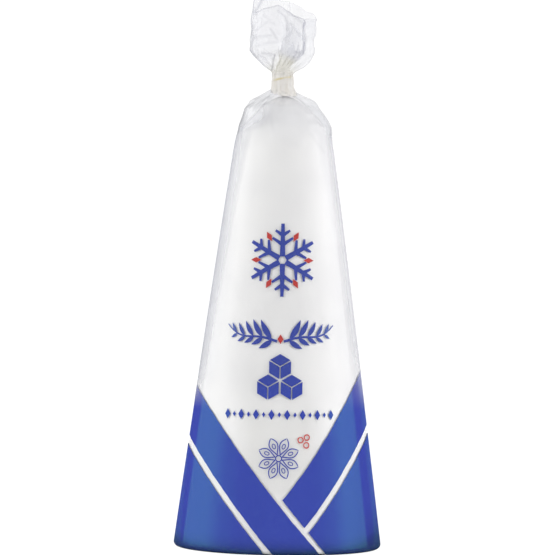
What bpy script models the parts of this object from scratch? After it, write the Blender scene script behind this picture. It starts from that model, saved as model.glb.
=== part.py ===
"""A sugar loaf in its film bag: a pressed cone of sugar, gathered and taped at the neck.

Two solids, in metres, +Z up, with the origin at the middle of the flat base:

- bag: the cone in its film, the film's shoulder and gathered neck, and the crumpled tuft above,
- neck_tape: the tape that is wound around the neck and shuts the bag.

The bag is one lofted skin. Every height of it is a ring of points whose radius follows the
cone, the shoulder, the neck or the pleated tuft; the last rings fold over the tuft's rim
and run down into its hollow.
"""

import math

import bmesh
import bpy

# The cone and its foot
FOOT_RADIUS = 0.03285
FOOT_ROUNDING = 0.0015
SIDE_HEIGHT = 0.1315
SIDE_TOP_RADIUS = 0.0149
SIDE_BULGE = 0.0009

# The shoulder, where the film runs over the cone's rounded top to the neck
SHOULDER_FULLNESS = 1.90
SHOULDER_ROUNDNESS = 0.74
SHOULDER_PUCKER = 0.035
NECK_FOOT = 0.1431
NECK_FOOT_RISE_TO_BACK = 0.0012
NECK_FOOT_RISE_TO_LEFT = 0.0008

# The neck, which stands a little left of the cone's axis
NECK_RADIUS = 0.0028
NECK_TOP = 0.1502
NECK_LEAN = -0.0007
NECK_PUCKER = 0.045

# The tuft of loose film above the neck
TUFT_RADIUS_SIDEWAYS = 0.0104
TUFT_RADIUS_DEPTHWAYS = 0.0082
TUFT_LEAN = -0.0008
TUFT_PLEAT = 0.115
RIM_HEIGHT = 0.1686
RIM_RISE_TO_BACK = 0.0022
RIM_RISE_TO_LEFT = 0.0020
RIM_WAVE = 0.0009
FLAP_RISE = 0.0056
FLAP_DIRECTION = math.radians(163)
FLAP_SPREAD = math.radians(24)
HOLLOW_FLOOR = 0.1585

# The tape around the neck
TAPE_CLEARANCE = 0.0003
TAPE_THICKNESS = 0.0005
TAPE_INNER_RADIUS = NECK_RADIUS * (1 + NECK_PUCKER) + TAPE_CLEARANCE
TAPE_FOOT_GAP = 0.0003
TAPE_TOP = 0.1499
TAPE_LAP_HEIGHT = 0.1472
TAPE_LAP_SLANT = 0.0007
TAPE_LAP_STEP = 0.00025

# How finely the surfaces are divided
BAG_SEGMENTS = 72
TAPE_SEGMENTS = 48
FOOT_RINGS = 4
SIDE_RINGS = 9
SHOULDER_RINGS = 9
NECK_RINGS = 3
TUFT_RINGS = 9
HOLLOW_RINGS = 5

# Waves that pleat the gathered film: folds around the ring, share of the depth, start angle
PLEAT_WAVES = ((5, 0.40, 0.6), (8, 0.38, 2.1), (13, 0.22, 4.0))


def clear_scene():
    """Remove whatever objects the scene already holds."""
    for existing in list(bpy.data.objects):
        bpy.data.objects.remove(existing, do_unlink=True)


def plain_material(name, colour, roughness, alpha=1.0):
    """A Principled material of one colour, see-through when alpha is under one."""
    material = bpy.data.materials.new(name)
    material.use_nodes = True
    shader = material.node_tree.nodes["Principled BSDF"]
    shader.inputs["Base Color"].default_value = (*colour, 1.0)
    shader.inputs["Roughness"].default_value = roughness
    shader.inputs["Metallic"].default_value = 0.0
    shader.inputs["Alpha"].default_value = alpha
    return material


def smooth(share):
    """Ease from 0 to 1, flat at both ends."""
    share = min(max(share, 0.0), 1.0)
    return share * share * (3 - 2 * share)


def pleat(angle):
    """Depth of the gathered film's pleats at an angle around the neck, from -1 to 1."""
    return sum(depth * math.cos(folds * angle + start) for folds, depth, start in PLEAT_WAVES)


def side_radius(height):
    """Radius of the cone's side, which is slightly fuller than a straight cone."""
    share = height / SIDE_HEIGHT
    return FOOT_RADIUS + (SIDE_TOP_RADIUS - FOOT_RADIUS) * share + SIDE_BULGE * share * (1 - share)


def neck_foot(angle):
    """Height at which the shoulder turns into the neck: lowest at the front right."""
    return (NECK_FOOT + NECK_FOOT_RISE_TO_BACK * math.sin(angle)
            - NECK_FOOT_RISE_TO_LEFT * math.cos(angle))


def rim_height(angle):
    """Height of the tuft's rim, with one flap standing up at the back left."""
    away = math.remainder(angle - FLAP_DIRECTION, 2 * math.pi) / FLAP_SPREAD
    flap = FLAP_RISE * math.exp(-away * away)
    lean = RIM_RISE_TO_BACK * math.sin(angle) - RIM_RISE_TO_LEFT * math.cos(angle)
    return RIM_HEIGHT + lean + flap + RIM_WAVE * pleat(angle)


def tuft_radius(angle):
    """Radius of the tuft's unpleated wall, an oval that is wider sideways."""
    sideways = math.cos(angle) / TUFT_RADIUS_SIDEWAYS
    depthways = math.sin(angle) / TUFT_RADIUS_DEPTHWAYS
    return 1 / math.hypot(sideways, depthways)


def ring(point_at, segments):
    """The ring of points that point_at gives for evenly spaced angles."""
    return [point_at(2 * math.pi * step / segments) for step in range(segments)]


def around(centre_x, radius, angle, height):
    """A point at an angle and radius about an upright line through centre_x."""
    return (centre_x + radius * math.cos(angle), radius * math.sin(angle), height)


def foot_point(share):
    """Points of the rounded edge between the flat base and the cone's side."""
    turn = share * math.pi / 2
    inset = FOOT_ROUNDING * (1 - math.sin(turn))
    height = FOOT_ROUNDING * (1 - math.cos(turn))
    return lambda angle: around(0, side_radius(FOOT_ROUNDING) - inset, angle, height)


def side_point(share):
    """Points of the cone's side."""
    height = FOOT_ROUNDING + (SIDE_HEIGHT - FOOT_ROUNDING) * share
    return lambda angle: around(0, side_radius(height), angle, height)


def shoulder_point(share):
    """Points of the shoulder, which puckers as it nears the neck."""
    full = (1 - share ** SHOULDER_FULLNESS) ** SHOULDER_ROUNDNESS
    centre_x = NECK_LEAN * smooth(share)

    def point(angle):
        pucker = 1 + pleat(angle) * (SHOULDER_PUCKER * (1 - full) * full * 4 + NECK_PUCKER * share ** 4)
        radius = (NECK_RADIUS + (SIDE_TOP_RADIUS - NECK_RADIUS) * full) * pucker
        height = SIDE_HEIGHT + (neck_foot(angle) - SIDE_HEIGHT) * share
        return around(centre_x, radius, angle, height)

    return point


def neck_point(share):
    """Points of the gathered neck under the tape."""
    def point(angle):
        height = neck_foot(angle) + (NECK_TOP - neck_foot(angle)) * share
        return around(NECK_LEAN, NECK_RADIUS * (1 + NECK_PUCKER * pleat(angle)), angle, height)

    return point


def tuft_point(share):
    """Points of the tuft's outer wall, which flares quickly and then stands up."""
    flare = smooth(share / 0.52) ** 0.85
    pleating = NECK_PUCKER + (TUFT_PLEAT - NECK_PUCKER) * smooth(share * 1.6)
    centre_x = NECK_LEAN + (TUFT_LEAN - NECK_LEAN) * flare

    def point(angle):
        wall = NECK_RADIUS + (tuft_radius(angle) - NECK_RADIUS) * flare
        height = NECK_TOP + (rim_height(angle) - NECK_TOP) * share
        return around(centre_x, wall * (1 + pleating * pleat(angle)), angle, height)

    return point


def hollow_point(share):
    """Points of the tuft's hollow, from inside the rim down to the gathered middle."""
    reach = 0.86 * (1 - share) ** 0.9

    def point(angle):
        wall = tuft_radius(angle) * reach * (1 + TUFT_PLEAT * pleat(angle) * (1 + 0.5 * share))
        depth = smooth(0.12 + 0.88 * share)
        height = rim_height(angle) + (HOLLOW_FLOOR - rim_height(angle)) * depth
        return around(TUFT_LEAN, wall, angle, height)

    return point


def bag_rings():
    """Every ring of the bag's skin, from the edge of its flat base to its hollow."""
    stages = ((foot_point, FOOT_RINGS, 0), (side_point, SIDE_RINGS, 1),
              (shoulder_point, SHOULDER_RINGS, 1), (neck_point, NECK_RINGS, 1),
              (tuft_point, TUFT_RINGS, 1))
    rings = []
    for stage, count, first in stages:
        rings += [ring(stage(step / count), BAG_SEGMENTS) for step in range(first, count + 1)]
    rings += [ring(hollow_point(step / HOLLOW_RINGS), BAG_SEGMENTS) for step in range(HOLLOW_RINGS)]
    return rings


def skin_between(mesh, lower, upper):
    """Join two rings of vertices with a band of faces that look outwards."""
    count = len(lower)
    for step in range(count):
        after = (step + 1) % count
        mesh.faces.new((lower[step], lower[after], upper[after], upper[step]))


def add_object(name, mesh, material):
    """Put a finished bmesh into the scene as an object with its material."""
    mesh.normal_update()
    data = bpy.data.meshes.new(name)
    mesh.to_mesh(data)
    mesh.free()
    data.materials.append(material)
    data.shade_smooth()
    data.set_sharp_from_angle(angle=math.radians(40))
    placed = bpy.data.objects.new(name, data)
    bpy.context.scene.collection.objects.link(placed)
    return placed


def build_bag():
    """The cone in its film, closed by a flat base and by the floor of the tuft's hollow."""
    mesh = bmesh.new()
    rings = [[mesh.verts.new(point) for point in points] for points in bag_rings()]
    for lower, upper in zip(rings, rings[1:]):
        skin_between(mesh, lower, upper)
    mesh.faces.new(reversed(rings[0]))
    floor = mesh.verts.new((TUFT_LEAN, 0, HOLLOW_FLOOR))
    last = rings[-1]
    for step, corner in enumerate(last):
        mesh.faces.new((corner, last[(step + 1) % BAG_SEGMENTS], floor))
    return add_object("bag", mesh, plain_material("film_bag", (0.86, 0.87, 0.90), 0.25))


def tape_sections():
    """Radius and height of the tape's section, once round from its lower inner corner."""
    inner = TAPE_INNER_RADIUS
    outer = inner + TAPE_THICKNESS
    lapped = outer + TAPE_LAP_STEP

    def foot(angle):
        return neck_foot(angle) + TAPE_FOOT_GAP

    def lap(angle):
        return TAPE_LAP_HEIGHT + TAPE_LAP_SLANT * math.cos(angle)

    return ((inner, foot), (lapped, foot), (lapped, lap),
            (outer, lambda angle: lap(angle) + TAPE_LAP_STEP),
            (outer, lambda angle: TAPE_TOP), (inner, lambda angle: TAPE_TOP))


def build_neck_tape():
    """The tape: a close sleeve around the neck whose second turn ends in a slanted step."""
    mesh = bmesh.new()
    loops = []
    for radius, height_at in tape_sections():
        points = ring(lambda angle: around(NECK_LEAN, radius, angle, height_at(angle)), TAPE_SEGMENTS)
        loops.append([mesh.verts.new(point) for point in points])
    for lower, upper in zip(loops, loops[1:] + loops[:1]):
        skin_between(mesh, lower, upper)
    return add_object("neck_tape", mesh, plain_material("neck_tape", (0.78, 0.74, 0.62), 0.45, 0.9))


def main():
    """Build both pieces of the bagged sugar loaf."""
    clear_scene()
    build_bag()
    build_neck_tape()


main()
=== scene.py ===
"""A bagged sugar loaf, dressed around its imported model.

The pressed cone of sugar stands in a clear film bag with a blue and red print. The film is
gathered above the cone, wound with tape, and ends in a crumpled tuft. Every piece is built
in metres in the model's own frame: +Z up, the front of the print towards -Y.
"""

import logging
import math
from dataclasses import astuple, dataclass, replace
from enum import Enum
from functools import partial, reduce
from typing import Sequence

import bpy
import numpy as np
from mathutils import Matrix, Vector


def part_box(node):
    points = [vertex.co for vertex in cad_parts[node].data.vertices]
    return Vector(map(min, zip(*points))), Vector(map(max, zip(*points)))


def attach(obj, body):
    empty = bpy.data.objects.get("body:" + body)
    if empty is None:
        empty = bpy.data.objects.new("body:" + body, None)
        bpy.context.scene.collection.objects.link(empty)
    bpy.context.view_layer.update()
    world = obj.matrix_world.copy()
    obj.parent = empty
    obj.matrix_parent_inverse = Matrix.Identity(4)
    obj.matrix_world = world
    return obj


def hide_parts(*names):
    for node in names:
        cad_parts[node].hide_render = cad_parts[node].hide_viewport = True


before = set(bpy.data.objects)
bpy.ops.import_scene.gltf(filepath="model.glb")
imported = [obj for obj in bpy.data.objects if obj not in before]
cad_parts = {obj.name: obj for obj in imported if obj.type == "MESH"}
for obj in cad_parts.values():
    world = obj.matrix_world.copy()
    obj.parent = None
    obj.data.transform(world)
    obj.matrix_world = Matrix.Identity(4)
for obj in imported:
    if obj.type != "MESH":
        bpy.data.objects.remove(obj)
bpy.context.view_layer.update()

MM = 0.001
SHORTEST = 1e-12
ROOT = "root"
# The attribute that carries the painted shade along folds and creases
FOLD_MARK = "fold_line"
BAG_LOW, BAG_HIGH = (Vector(corner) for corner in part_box("bag"))
TAPE_LOW, TAPE_HIGH = (Vector(corner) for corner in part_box("neck_tape"))
NECK_X = (TAPE_LOW.x + TAPE_HIGH.x) / 2

log = logging.getLogger("sugar_loaf")

Array = np.ndarray
FlatPoint = tuple[float, float]
Point = tuple[float, float, float]
Span = tuple[float, float]
Colour = tuple[float, float, float]
Patch = tuple[Array, Array]
Piece = bpy.types.Object
Material = bpy.types.Material
Node = bpy.types.Node
Socket = bpy.types.NodeSocket
Light = bpy.types.Light
Owner = Material | Light | bpy.types.World


class Slot(Enum):
    """The record's material slots that the pieces take their finish from."""

    SUGAR = "sugar"
    FILM = "film"
    TAPE = "tape"
    BLUE_INK = "blue_ink"
    RED_INK = "red_ink"


class Ink(Enum):
    """The two printing inks, each with the name of its piece."""

    BLUE = "blue_print"
    RED = "red_print"

    @property
    def slot(self) -> Slot:
        """The material slot that the ink takes its finish from."""
        return Slot.BLUE_INK if self is Ink.BLUE else Slot.RED_INK


Shapes = dict[Ink, list[Patch]]


# Helpers for numbers and meshes


def mm(*lengths: float) -> tuple[float, ...]:
    """Lengths given in millimetres, in metres."""
    return tuple(length * MM for length in lengths)


def ease(share: Array | float) -> Array | float:
    """Ease from 0 to 1, flat at both ends, and hold outside that range."""
    held = np.clip(share, 0.0, 1.0)
    return held * held * (3 - 2 * held)


def eased(value: Array | float, start: float, over: float) -> Array | float:
    """Ease from 0 at a start to 1 a stretch further, both given in millimetres."""
    return ease((value - start * MM) / (over * MM))


def unit(vectors: Array) -> Array:
    """The vectors' directions, as vectors of length one."""
    return vectors / np.maximum(np.linalg.norm(vectors, axis=-1, keepdims=True), SHORTEST)


def pointing(angle: float) -> Array:
    """The flat direction at an angle, counter-clockwise from the right."""
    return np.array([math.cos(angle), math.sin(angle)])


def even_turns(count: int) -> Array:
    """Angles spaced evenly around a ring, from 0."""
    return np.arange(count) * 2 * math.pi / count


def around(middle: float, turn: Array, radius: Array, height: Array | float) -> Array:
    """Points around an upright line.

    Args:
        middle: How far right of the model's axis the line stands.
        turn: The points' angles, counter-clockwise from the right.
        radius: Their distances from the line.
        height: Their heights, or the one height of all.

    Returns:
        The points.
    """
    across, deep = middle + radius * np.cos(turn), radius * np.sin(turn)
    return np.stack([across, deep, np.broadcast_to(height, across.shape)], axis=-1)


def build_piece(name: str, points: Array, faces: Array, material: Material) -> Piece:
    """Make a mesh object and add it to the scene.

    Args:
        name: The piece's name.
        points: Its vertices, one row each, in metres.
        faces: Its quads, one row of four vertex numbers each, the last one twice for a triangle.
        material: What it is dressed in.

    Returns:
        The new object, shaded smooth.
    """
    mesh = bpy.data.meshes.new(name)
    mesh.from_pydata(points.tolist(), [], [tuple(dict.fromkeys(face)) for face in faces.tolist()])
    mesh.validate()
    mesh.materials.append(material)
    mesh.shade_smooth()
    piece = bpy.data.objects.new(name, mesh)
    bpy.context.scene.collection.objects.link(piece)
    return piece


def grid_faces(rows: int, columns: int, closed: bool = False) -> Array:
    """The quads of a sheet of vertices, row by row; a tube's look outwards when its rows rise.

    Args:
        rows: How many rows of vertices the sheet has.
        columns: How many vertices are in each row.
        closed: Whether each row is a ring, which makes the sheet a tube.

    Returns:
        One row of four vertex numbers for each quad.
    """
    cells = columns if closed else columns - 1
    row, column = np.meshgrid(np.arange(rows - 1), np.arange(cells), indexing="ij")
    after = (column + 1) % columns
    low, high = row * columns, (row + 1) * columns
    return np.stack([low + column, low + after, high + after, high + column], axis=-1).reshape(-1, 4)


def fan_faces(columns: int, first: int, middle: int, downwards: bool) -> Array:
    """The triangles between a ring of vertices and the one that closes it.

    Args:
        columns: How many vertices are in the ring.
        first: The number of the ring's first vertex.
        middle: The number of the closing vertex.
        downwards: Whether the triangles look down rather than up.

    Returns:
        One row for each triangle, with the closing vertex twice.
    """
    start = first + np.arange(columns)
    end = first + (np.arange(columns) + 1) % columns
    if downwards:
        start, end = end, start
    return np.stack([start, end, np.full(columns, middle), np.full(columns, middle)], axis=-1)


def fold_marks(grid: Array, gauge: float = 0.4 * MM, slight: float = 0.30, further: float = 1.1) -> Array:
    """How sharply a sheet of film is folded at each of its points, from 0 to 1.

    Args:
        grid: The sheet's points, by row and column, closed along its rows.
        gauge: The length of film over which a fold is judged.
        slight: The turn, in radians over that length, that is no fold yet.
        further: How much more it turns at a full fold.

    Returns:
        One mark for each point.
    """
    bend = np.zeros(grid.shape[:2])
    for before, after in ((grid - np.roll(grid, 1, axis=1), np.roll(grid, -1, axis=1) - grid),
                          (np.diff(grid, axis=0, prepend=2 * grid[:1] - grid[1:2]),
                           np.diff(grid, axis=0, append=2 * grid[-1:] - grid[-2:-1]))):
        size_before, size_after = (np.maximum(np.linalg.norm(step, axis=-1), SHORTEST)
                                   for step in (before, after))
        turned = np.arccos(np.clip((before * after).sum(axis=-1) / (size_before * size_after), -1.0, 1.0))
        bend = np.maximum(bend, turned / (size_before + size_after) * 2 * gauge)
    return ease((bend - slight) / further)


def mark_vertices(piece: Piece, marks: Array) -> None:
    """Write the fold marks of a piece's first vertices, and none for the rest.

    Args:
        piece: The piece.
        marks: The marks, in the order of the vertices.
    """
    values = np.zeros(len(piece.data.vertices))
    values[:marks.size] = marks.ravel()
    piece.data.attributes.new(FOLD_MARK, "FLOAT", "POINT").data.foreach_set("value", values)


# Finishes


class Sum(Enum):
    """The sums on numbers that the finishes are made with."""

    ADD = "ADD"
    SUBTRACT = "SUBTRACT"
    MULTIPLY = "MULTIPLY"
    POWER = "POWER"
    MAXIMUM = "MAXIMUM"
    ABSOLUTE = "ABSOLUTE"


class Blend(Enum):
    """The ways of putting one colour over another."""

    MIX = "MIX"
    MULTIPLY = "MULTIPLY"


class Nodes:
    """The node tree of a material, a light or the world, built a node at a time."""

    def __init__(self, owner: Owner, kind: str = "Material") -> None:
        """Start a tree with nothing but its output.

        Args:
            owner: What the tree belongs to.
            kind: The owner's kind, as the output node's type names it.
        """
        owner.use_nodes = True
        self.owner = owner
        self.tree = owner.node_tree
        self.tree.nodes.clear()
        self.output = self.tree.nodes.new("ShaderNodeOutput" + kind)

    def add(self, kind: str, sockets: dict[str | int, object] | None = None, **settings: object) -> Node:
        """Add a node.

        Args:
            kind: The node's type, without its "ShaderNode" prefix.
            sockets: Input values by the socket's name or number; a socket given as a value is linked.
            **settings: The node's own properties.

        Returns:
            The new node.
        """
        node = self.tree.nodes.new("ShaderNode" + kind)
        for key, value in settings.items():
            setattr(node, key, value)
        for key, value in (sockets or {}).items():
            socket = node.inputs[key]
            if isinstance(value, Socket):
                self.tree.links.new(value, socket)
            else:
                socket.default_value = value
        return node

    def place(self) -> Socket:
        """The point's place in the model."""
        return self.add("TexCoord").outputs["Object"]

    def lengths(self, place: Socket) -> tuple[Socket, Socket, Socket]:
        """How far right, back and up a place is."""
        return tuple(self.add("SeparateXYZ", {"Vector": place}).outputs)

    def along(self, place: Socket, way: Point) -> Socket:
        """How far a place lies along a way."""
        return self.add("VectorMath", {0: place, 1: way}, operation="DOT_PRODUCT").outputs["Value"]

    def away(self, place: Socket, centre: Point) -> Socket:
        """How far a place is from a centre."""
        return self.add("VectorMath", {0: place, 1: centre}, operation="DISTANCE").outputs["Value"]

    def noise(self, place: Socket, scale: float, detail: float, output: str = "Fac") -> Socket:
        """Cloudy noise of some detail, with about so many clouds to the metre."""
        return self.add("TexNoise", {"Vector": place, "Scale": scale, "Detail": detail}).outputs[output]

    def stirred(self, place: Socket, scale: float, detail: float, reach: float) -> Socket:
        """A place moved about by cloudy noise, up to a reach each way."""
        moved = {0: self.noise(place, scale, detail, "Color"), 1: (reach,) * 3, 2: place}
        return self.add("VectorMath", moved, operation="MULTIPLY_ADD").outputs[0]

    def ramp(self, factor: Socket, stops: Sequence[tuple[float, Colour]]) -> Socket:
        """A colour that changes with a factor.

        Args:
            factor: What it changes with, from 0 to 1.
            stops: The colour at each of some places, as (place, colour).

        Returns:
            The colour at the point.
        """
        node = self.add("ValToRGB", {"Fac": factor})
        elements = node.color_ramp.elements
        while len(elements) < len(stops):
            elements.new(0.5)
        for element, (place, colour) in zip(elements, stops):
            element.position = place
            element.color = (*colour, 1.0)
        return node.outputs["Color"]

    def profile(self, factor: Socket, stops: Sequence[FlatPoint]) -> Socket:
        """A number that changes with a factor, by its (place, number) stops."""
        return self.ramp(factor, tuple((place, (number,) * 3) for place, number in stops))

    def spread(self, factor: Socket, low: float, high: float, from_low: float = 0.0, from_high: float = 1.0
               ) -> Socket:
        """A factor moved from its own range to that from low to high, and held in the new one."""
        return self.add("MapRange", {"Value": factor, "From Min": from_low, "From Max": from_high,
                                     "To Min": low, "To Max": high}).outputs["Result"]

    def rise(self, factor: Socket, span: Span) -> Socket:
        """A number that rises from 0 to 1 while a factor crosses a span."""
        return self.spread(factor, 0.0, 1.0, *span)

    def fall(self, factor: Socket, span: Span) -> Socket:
        """A number that falls from 1 to 0 while a factor crosses a span."""
        return self.spread(factor, 1.0, 0.0, *span)

    def sum(self, kind: Sum, first: Socket, second: Socket | float = 0.0, held: bool = True) -> Socket:
        """The result of a sum on two numbers, held between 0 and 1 unless told otherwise."""
        return self.add("Math", {0: first, 1: second}, operation=kind.value, use_clamp=held).outputs[0]

    def product(self, first: Socket, *others: Socket | float) -> Socket:
        """The product of some numbers, held between 0 and 1 at each step."""
        return reduce(partial(self.sum, Sum.MULTIPLY), others, first)

    def total(self, first: Socket, *others: Socket | float) -> Socket:
        """The total of some numbers, held between 0 and 1 at each step."""
        return reduce(partial(self.sum, Sum.ADD), others, first)

    def blend(self, share: Socket | float, under: Socket, over: Socket | Colour, way: Blend = Blend.MIX
              ) -> Socket:
        """One colour put over another.

        Args:
            share: How much of the upper colour counts.
            under: The lower colour.
            over: The upper colour.
            way: How it is put on.

        Returns:
            The resulting colour.
        """
        if not isinstance(over, Socket):
            over = (*over, 1.0)
        return self.add("Mix", {"Factor": share, 6: under, 7: over}, data_type="RGBA",
                        blend_type=way.value).outputs[2]

    def mixed(self, share: Socket | float, first: Node, second: Node) -> Node:
        """Two shaders mixed, with none of the second where the share is 0."""
        return self.add("MixShader", {"Fac": share, 1: first.outputs[0], 2: second.outputs[0]})

    def finish(self, shader: Node) -> Owner:
        """Send the shader to the output and hand over the tree's owner."""
        self.tree.links.new(shader.outputs[0], self.output.inputs["Surface"])
        return self.owner


@dataclass(frozen=True)
class PressedSugar:
    """Fine white sugar, pressed moist: matt, with a grain of crystals and a few soft hollows.

    The lower front is painted darker, a painted shade. Its levels run over the span of its
    height, and it ends over the spans of its front and its side.
    """

    name: str = "pressed_sugar"
    colour: Colour = (0.885, 0.882, 0.862)
    shaded: Colour = (0.835, 0.832, 0.818)
    hollow_scale: float = 55.0
    hollow_levels: Span = (0.35, 0.62)
    # A painted shade, low on the front of the sugar
    painted_shade: Colour = (0.845, 0.845, 0.835)
    painted_shade_levels: tuple[FlatPoint, ...] = ((0.0, 0.0), (0.12, 1.0), (0.54, 1.0), (0.67, 0.55), (1.0, 0.0))
    painted_shade_height: Span = mm(14, 62)
    painted_shade_front: Span = mm(-20, -12)
    painted_shade_side: Span = mm(8, 15)
    grain: float = 0.5 * MM
    grain_height: float = 0.12 * MM

    def material(self) -> Material:
        """Make the sugar's material.

        Returns:
            The material.
        """
        nodes = Nodes(bpy.data.materials.new(self.name))
        place = nodes.place()
        hollows = nodes.noise(place, self.hollow_scale, 2.0)
        colour = nodes.ramp(hollows, tuple(zip(self.hollow_levels, (self.shaded, self.colour))))
        across, deep, height = nodes.lengths(place)
        aside = nodes.sum(Sum.ABSOLUTE, across, held=False)
        # Painted shade: the lower front of the sugar is darkened
        low = nodes.profile(nodes.rise(height, self.painted_shade_height), self.painted_shade_levels)
        painted_shade = nodes.product(low, nodes.fall(deep, self.painted_shade_front), nodes.fall(aside, self.painted_shade_side))
        bump = nodes.add("Bump", {"Height": nodes.noise(place, 1 / self.grain, 3.0), "Strength": 0.25,
                                  "Distance": self.grain_height})
        colour = nodes.blend(painted_shade, colour, self.painted_shade, Blend.MULTIPLY)
        return nodes.finish(nodes.add("BsdfPrincipled", {
            "Base Color": colour, "Roughness": 0.7, "Specular IOR Level": 0.25,
            "Normal": bump.outputs["Normal"]}))


@dataclass(frozen=True)
class ClearFilm:
    """Thin clear plastic film: see-through head on, milky where it is crumpled or bunched.

    A haze is the milky share of the film's body. A span of lengths, named for a height, a
    side, a front or a back, says between which places a haze or a gloss changes. Folds and
    creases are painted dark, a painted shade along them.
    """

    name: str = "clear_film"
    passed: Colour = (0.985, 0.985, 0.990)
    haze_colour: Colour = (0.595, 0.605, 0.655)
    glue_colour: Colour = (0.74, 0.72, 0.60)
    # The dark colour of the painted shade along folds and creases
    fold_shade_colour: Colour = (0.22, 0.23, 0.29)
    roughness: float = 0.06
    mirrored: float = 0.040
    mirrored_power: float = 5.0
    foot_gloss: float = 0.03
    tuft_gloss: float = 0.55
    ripple_scale: float = 260.0
    ripple_height: float = 0.1 * MM
    crease_height: float = 0.15 * MM

    # The film's parts, from the foot to the tuft
    foot_end: Span = mm(44, 62)
    shoulder: Span = mm(125, 136)
    neck: Span = mm(143, 152)
    open_tuft: Span = mm(153, 161)
    tight_haze: float = 0.012
    shoulder_haze: float = 0.13
    tuft_foot_haze: float = 0.09
    tuft_haze: float = 0.17

    # Where it slants to the eye, partly haze and partly painted edge shade: tight on the cone,
    # on the shoulder and up, and right of the neck
    tight_slant_haze_and_shade: Span = (1.75, 0.86)
    tight_slant_side: Span = mm(-10, 10)
    tight_slant_power: float = 2.2
    slant_haze_and_shade: Span = (0.95, 0.16)
    slant_side: Span = mm(-7, 7)
    slant_power: float = 4.0
    neck_slant: tuple[FlatPoint, ...] = ((0.0, 1.0), (0.32, 0.35), (0.62, 0.35), (1.0, 1.0))
    neck_slant_height: Span = mm(134, 150)
    right_slant_haze_and_shade: float = 0.50
    right_slant_side: Span = mm(2, 9)
    right_slant_height: Span = mm(138, 144)

    # The fine creases: two sets, each with its share of the pitch, its line width and its patches
    crease_haze: float = 0.08
    # The share of painted shade along the fold marks
    fold_shade_share: float = 0.62
    crease_pitch: float = 3.4 * MM
    crease_sets: tuple[tuple[float, float, float], ...] = ((1.0, 0.050, 190.0), (0.55, 0.060, 260.0))
    crease_patches: Span = (0.42, 0.68)
    crease_stir: float = 1.6 * MM
    shoulder_creases: float = 0.35
    tuft_creases: float = 0.65

    # The second layer below the neck, whose pointed lower edge is given in millimetres
    layer_haze: Span = (0.34, 0.050)
    layer_side: Span = mm(-8.5, -3)
    layer_height: Span = mm(138.5, 143)
    layer_edge: tuple[FlatPoint, ...] = ((-13.4, 130.4), (-4.6, 132.6), (-3.4, 128.6), (1.0, 125.6),
                                         (4.4, 125.4), (8.2, 130.0), (13.4, 126.0))
    edge_half_width: float = 16.0
    edge_heights: Span = (120.0, 140.0)
    edge_softness: Span = (-0.05, 0.13)
    layer_left: Point = (-0.75, 0.0, 0.661)
    layer_reach: float = 96.6 * MM
    reach_softness: Span = mm(-0.4, 0.2)

    # The doubled sides
    lap_haze: float = 0.13
    lap_dulling: float = 0.70
    lap_front: Span = mm(-11.8, -10.0)
    lap_back: Span = mm(-2, 10)
    lap_shares: Span = (1.0, 0.4)
    lap_side: Span = mm(-2, 2)
    lap_foot: Span = mm(44, 66)
    lap_top: Span = mm(127, 133)

    # The gathered stalk, the neck's front, the tuft's bunched core, its flap and its far rim
    stalk: Point = mm(-0.7, 0, 151.0)
    stalk_radius: Span = mm(3.6, 6.2)
    stalk_haze: float = 0.10
    neck_front: Point = mm(-0.5, -2.5, 141.8)
    neck_radius: Span = mm(2.0, 6.5)
    neck_haze: float = 0.11
    core: Point = mm(2.2, -1.0, 159.4)
    core_squash: Point = (1.0, 0.35, 0.85)
    core_stir: float = 5 * MM
    core_depth: float = 0.9 * MM
    core_radius: Span = mm(1.2, 5.2)
    core_haze: float = 0.24
    flap_haze: float = 0.17
    flap_side: Span = mm(-8, -4)
    flap_height: Span = mm(168.5, 171.5)
    far_rim_haze: float = 0.05
    far_rim_side: Span = mm(1, 6)
    far_rim_height: Span = mm(162, 166)

    def material(self) -> Material:
        """Make the film's material.

        Returns:
            The material.
        """
        nodes = Nodes(bpy.data.materials.new(self.name))
        place = nodes.place()
        _, _, height = nodes.lengths(place)
        creases = self.creases(nodes, place, height)
        ripple = nodes.add("Bump", {"Height": nodes.noise(place, self.ripple_scale, 2.0), "Strength": 0.12,
                                    "Distance": self.ripple_height})
        bump = nodes.add("Bump", {"Height": creases, "Strength": 0.5, "Distance": self.crease_height,
                                  "Normal": ripple.outputs["Normal"]}).outputs["Normal"]
        slant = nodes.add("LayerWeight", {"Blend": 0.5, "Normal": bump}).outputs["Facing"]
        folded = nodes.add("Attribute", attribute_name=FOLD_MARK).outputs["Fac"]
        lines = nodes.total(nodes.product(creases, self.crease_haze), nodes.product(folded, self.fold_shade_share))
        haze = nodes.total(self.haze(nodes, place, height, slant), lines)
        clear = nodes.add("BsdfTransparent", {"Color": (*self.passed, 1.0)})
        # Painted shade: the film turns dark along its fold marks
        colour = nodes.blend(folded, self.milk(nodes, place), self.fold_shade_colour)
        milk = nodes.add("BsdfDiffuse", {"Color": colour})
        gloss = nodes.add("BsdfGlossy", {"Color": (1.0, 1.0, 1.0, 1.0), "Roughness": self.roughness,
                                         "Normal": bump})
        mirrored = nodes.spread(nodes.sum(Sum.POWER, slant, self.mirrored_power), self.mirrored, 1.0)
        share = nodes.product(nodes.spread(height, self.foot_gloss, 1.0, *self.foot_end),
                              nodes.spread(height, 1.0, self.tuft_gloss, *self.neck),
                              nodes.spread(self.lapped(nodes, place), 1.0, 1.0 - self.lap_dulling))
        body = nodes.mixed(haze, clear, milk)
        return nodes.finish(nodes.mixed(nodes.product(mirrored, share), body, gloss))

    def milk(self, nodes: Nodes, place: Socket) -> Socket:
        """The haze's colour, warmer on the gathered stalk, where the tape's glue is."""
        return nodes.ramp(self.near_stalk(nodes, place), ((0.0, self.haze_colour), (1.0, self.glue_colour)))

    def near_stalk(self, nodes: Nodes, place: Socket) -> Socket:
        """How near the film is to the gathered stalk above the neck."""
        return nodes.fall(nodes.away(place, self.stalk), self.stalk_radius)

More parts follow.
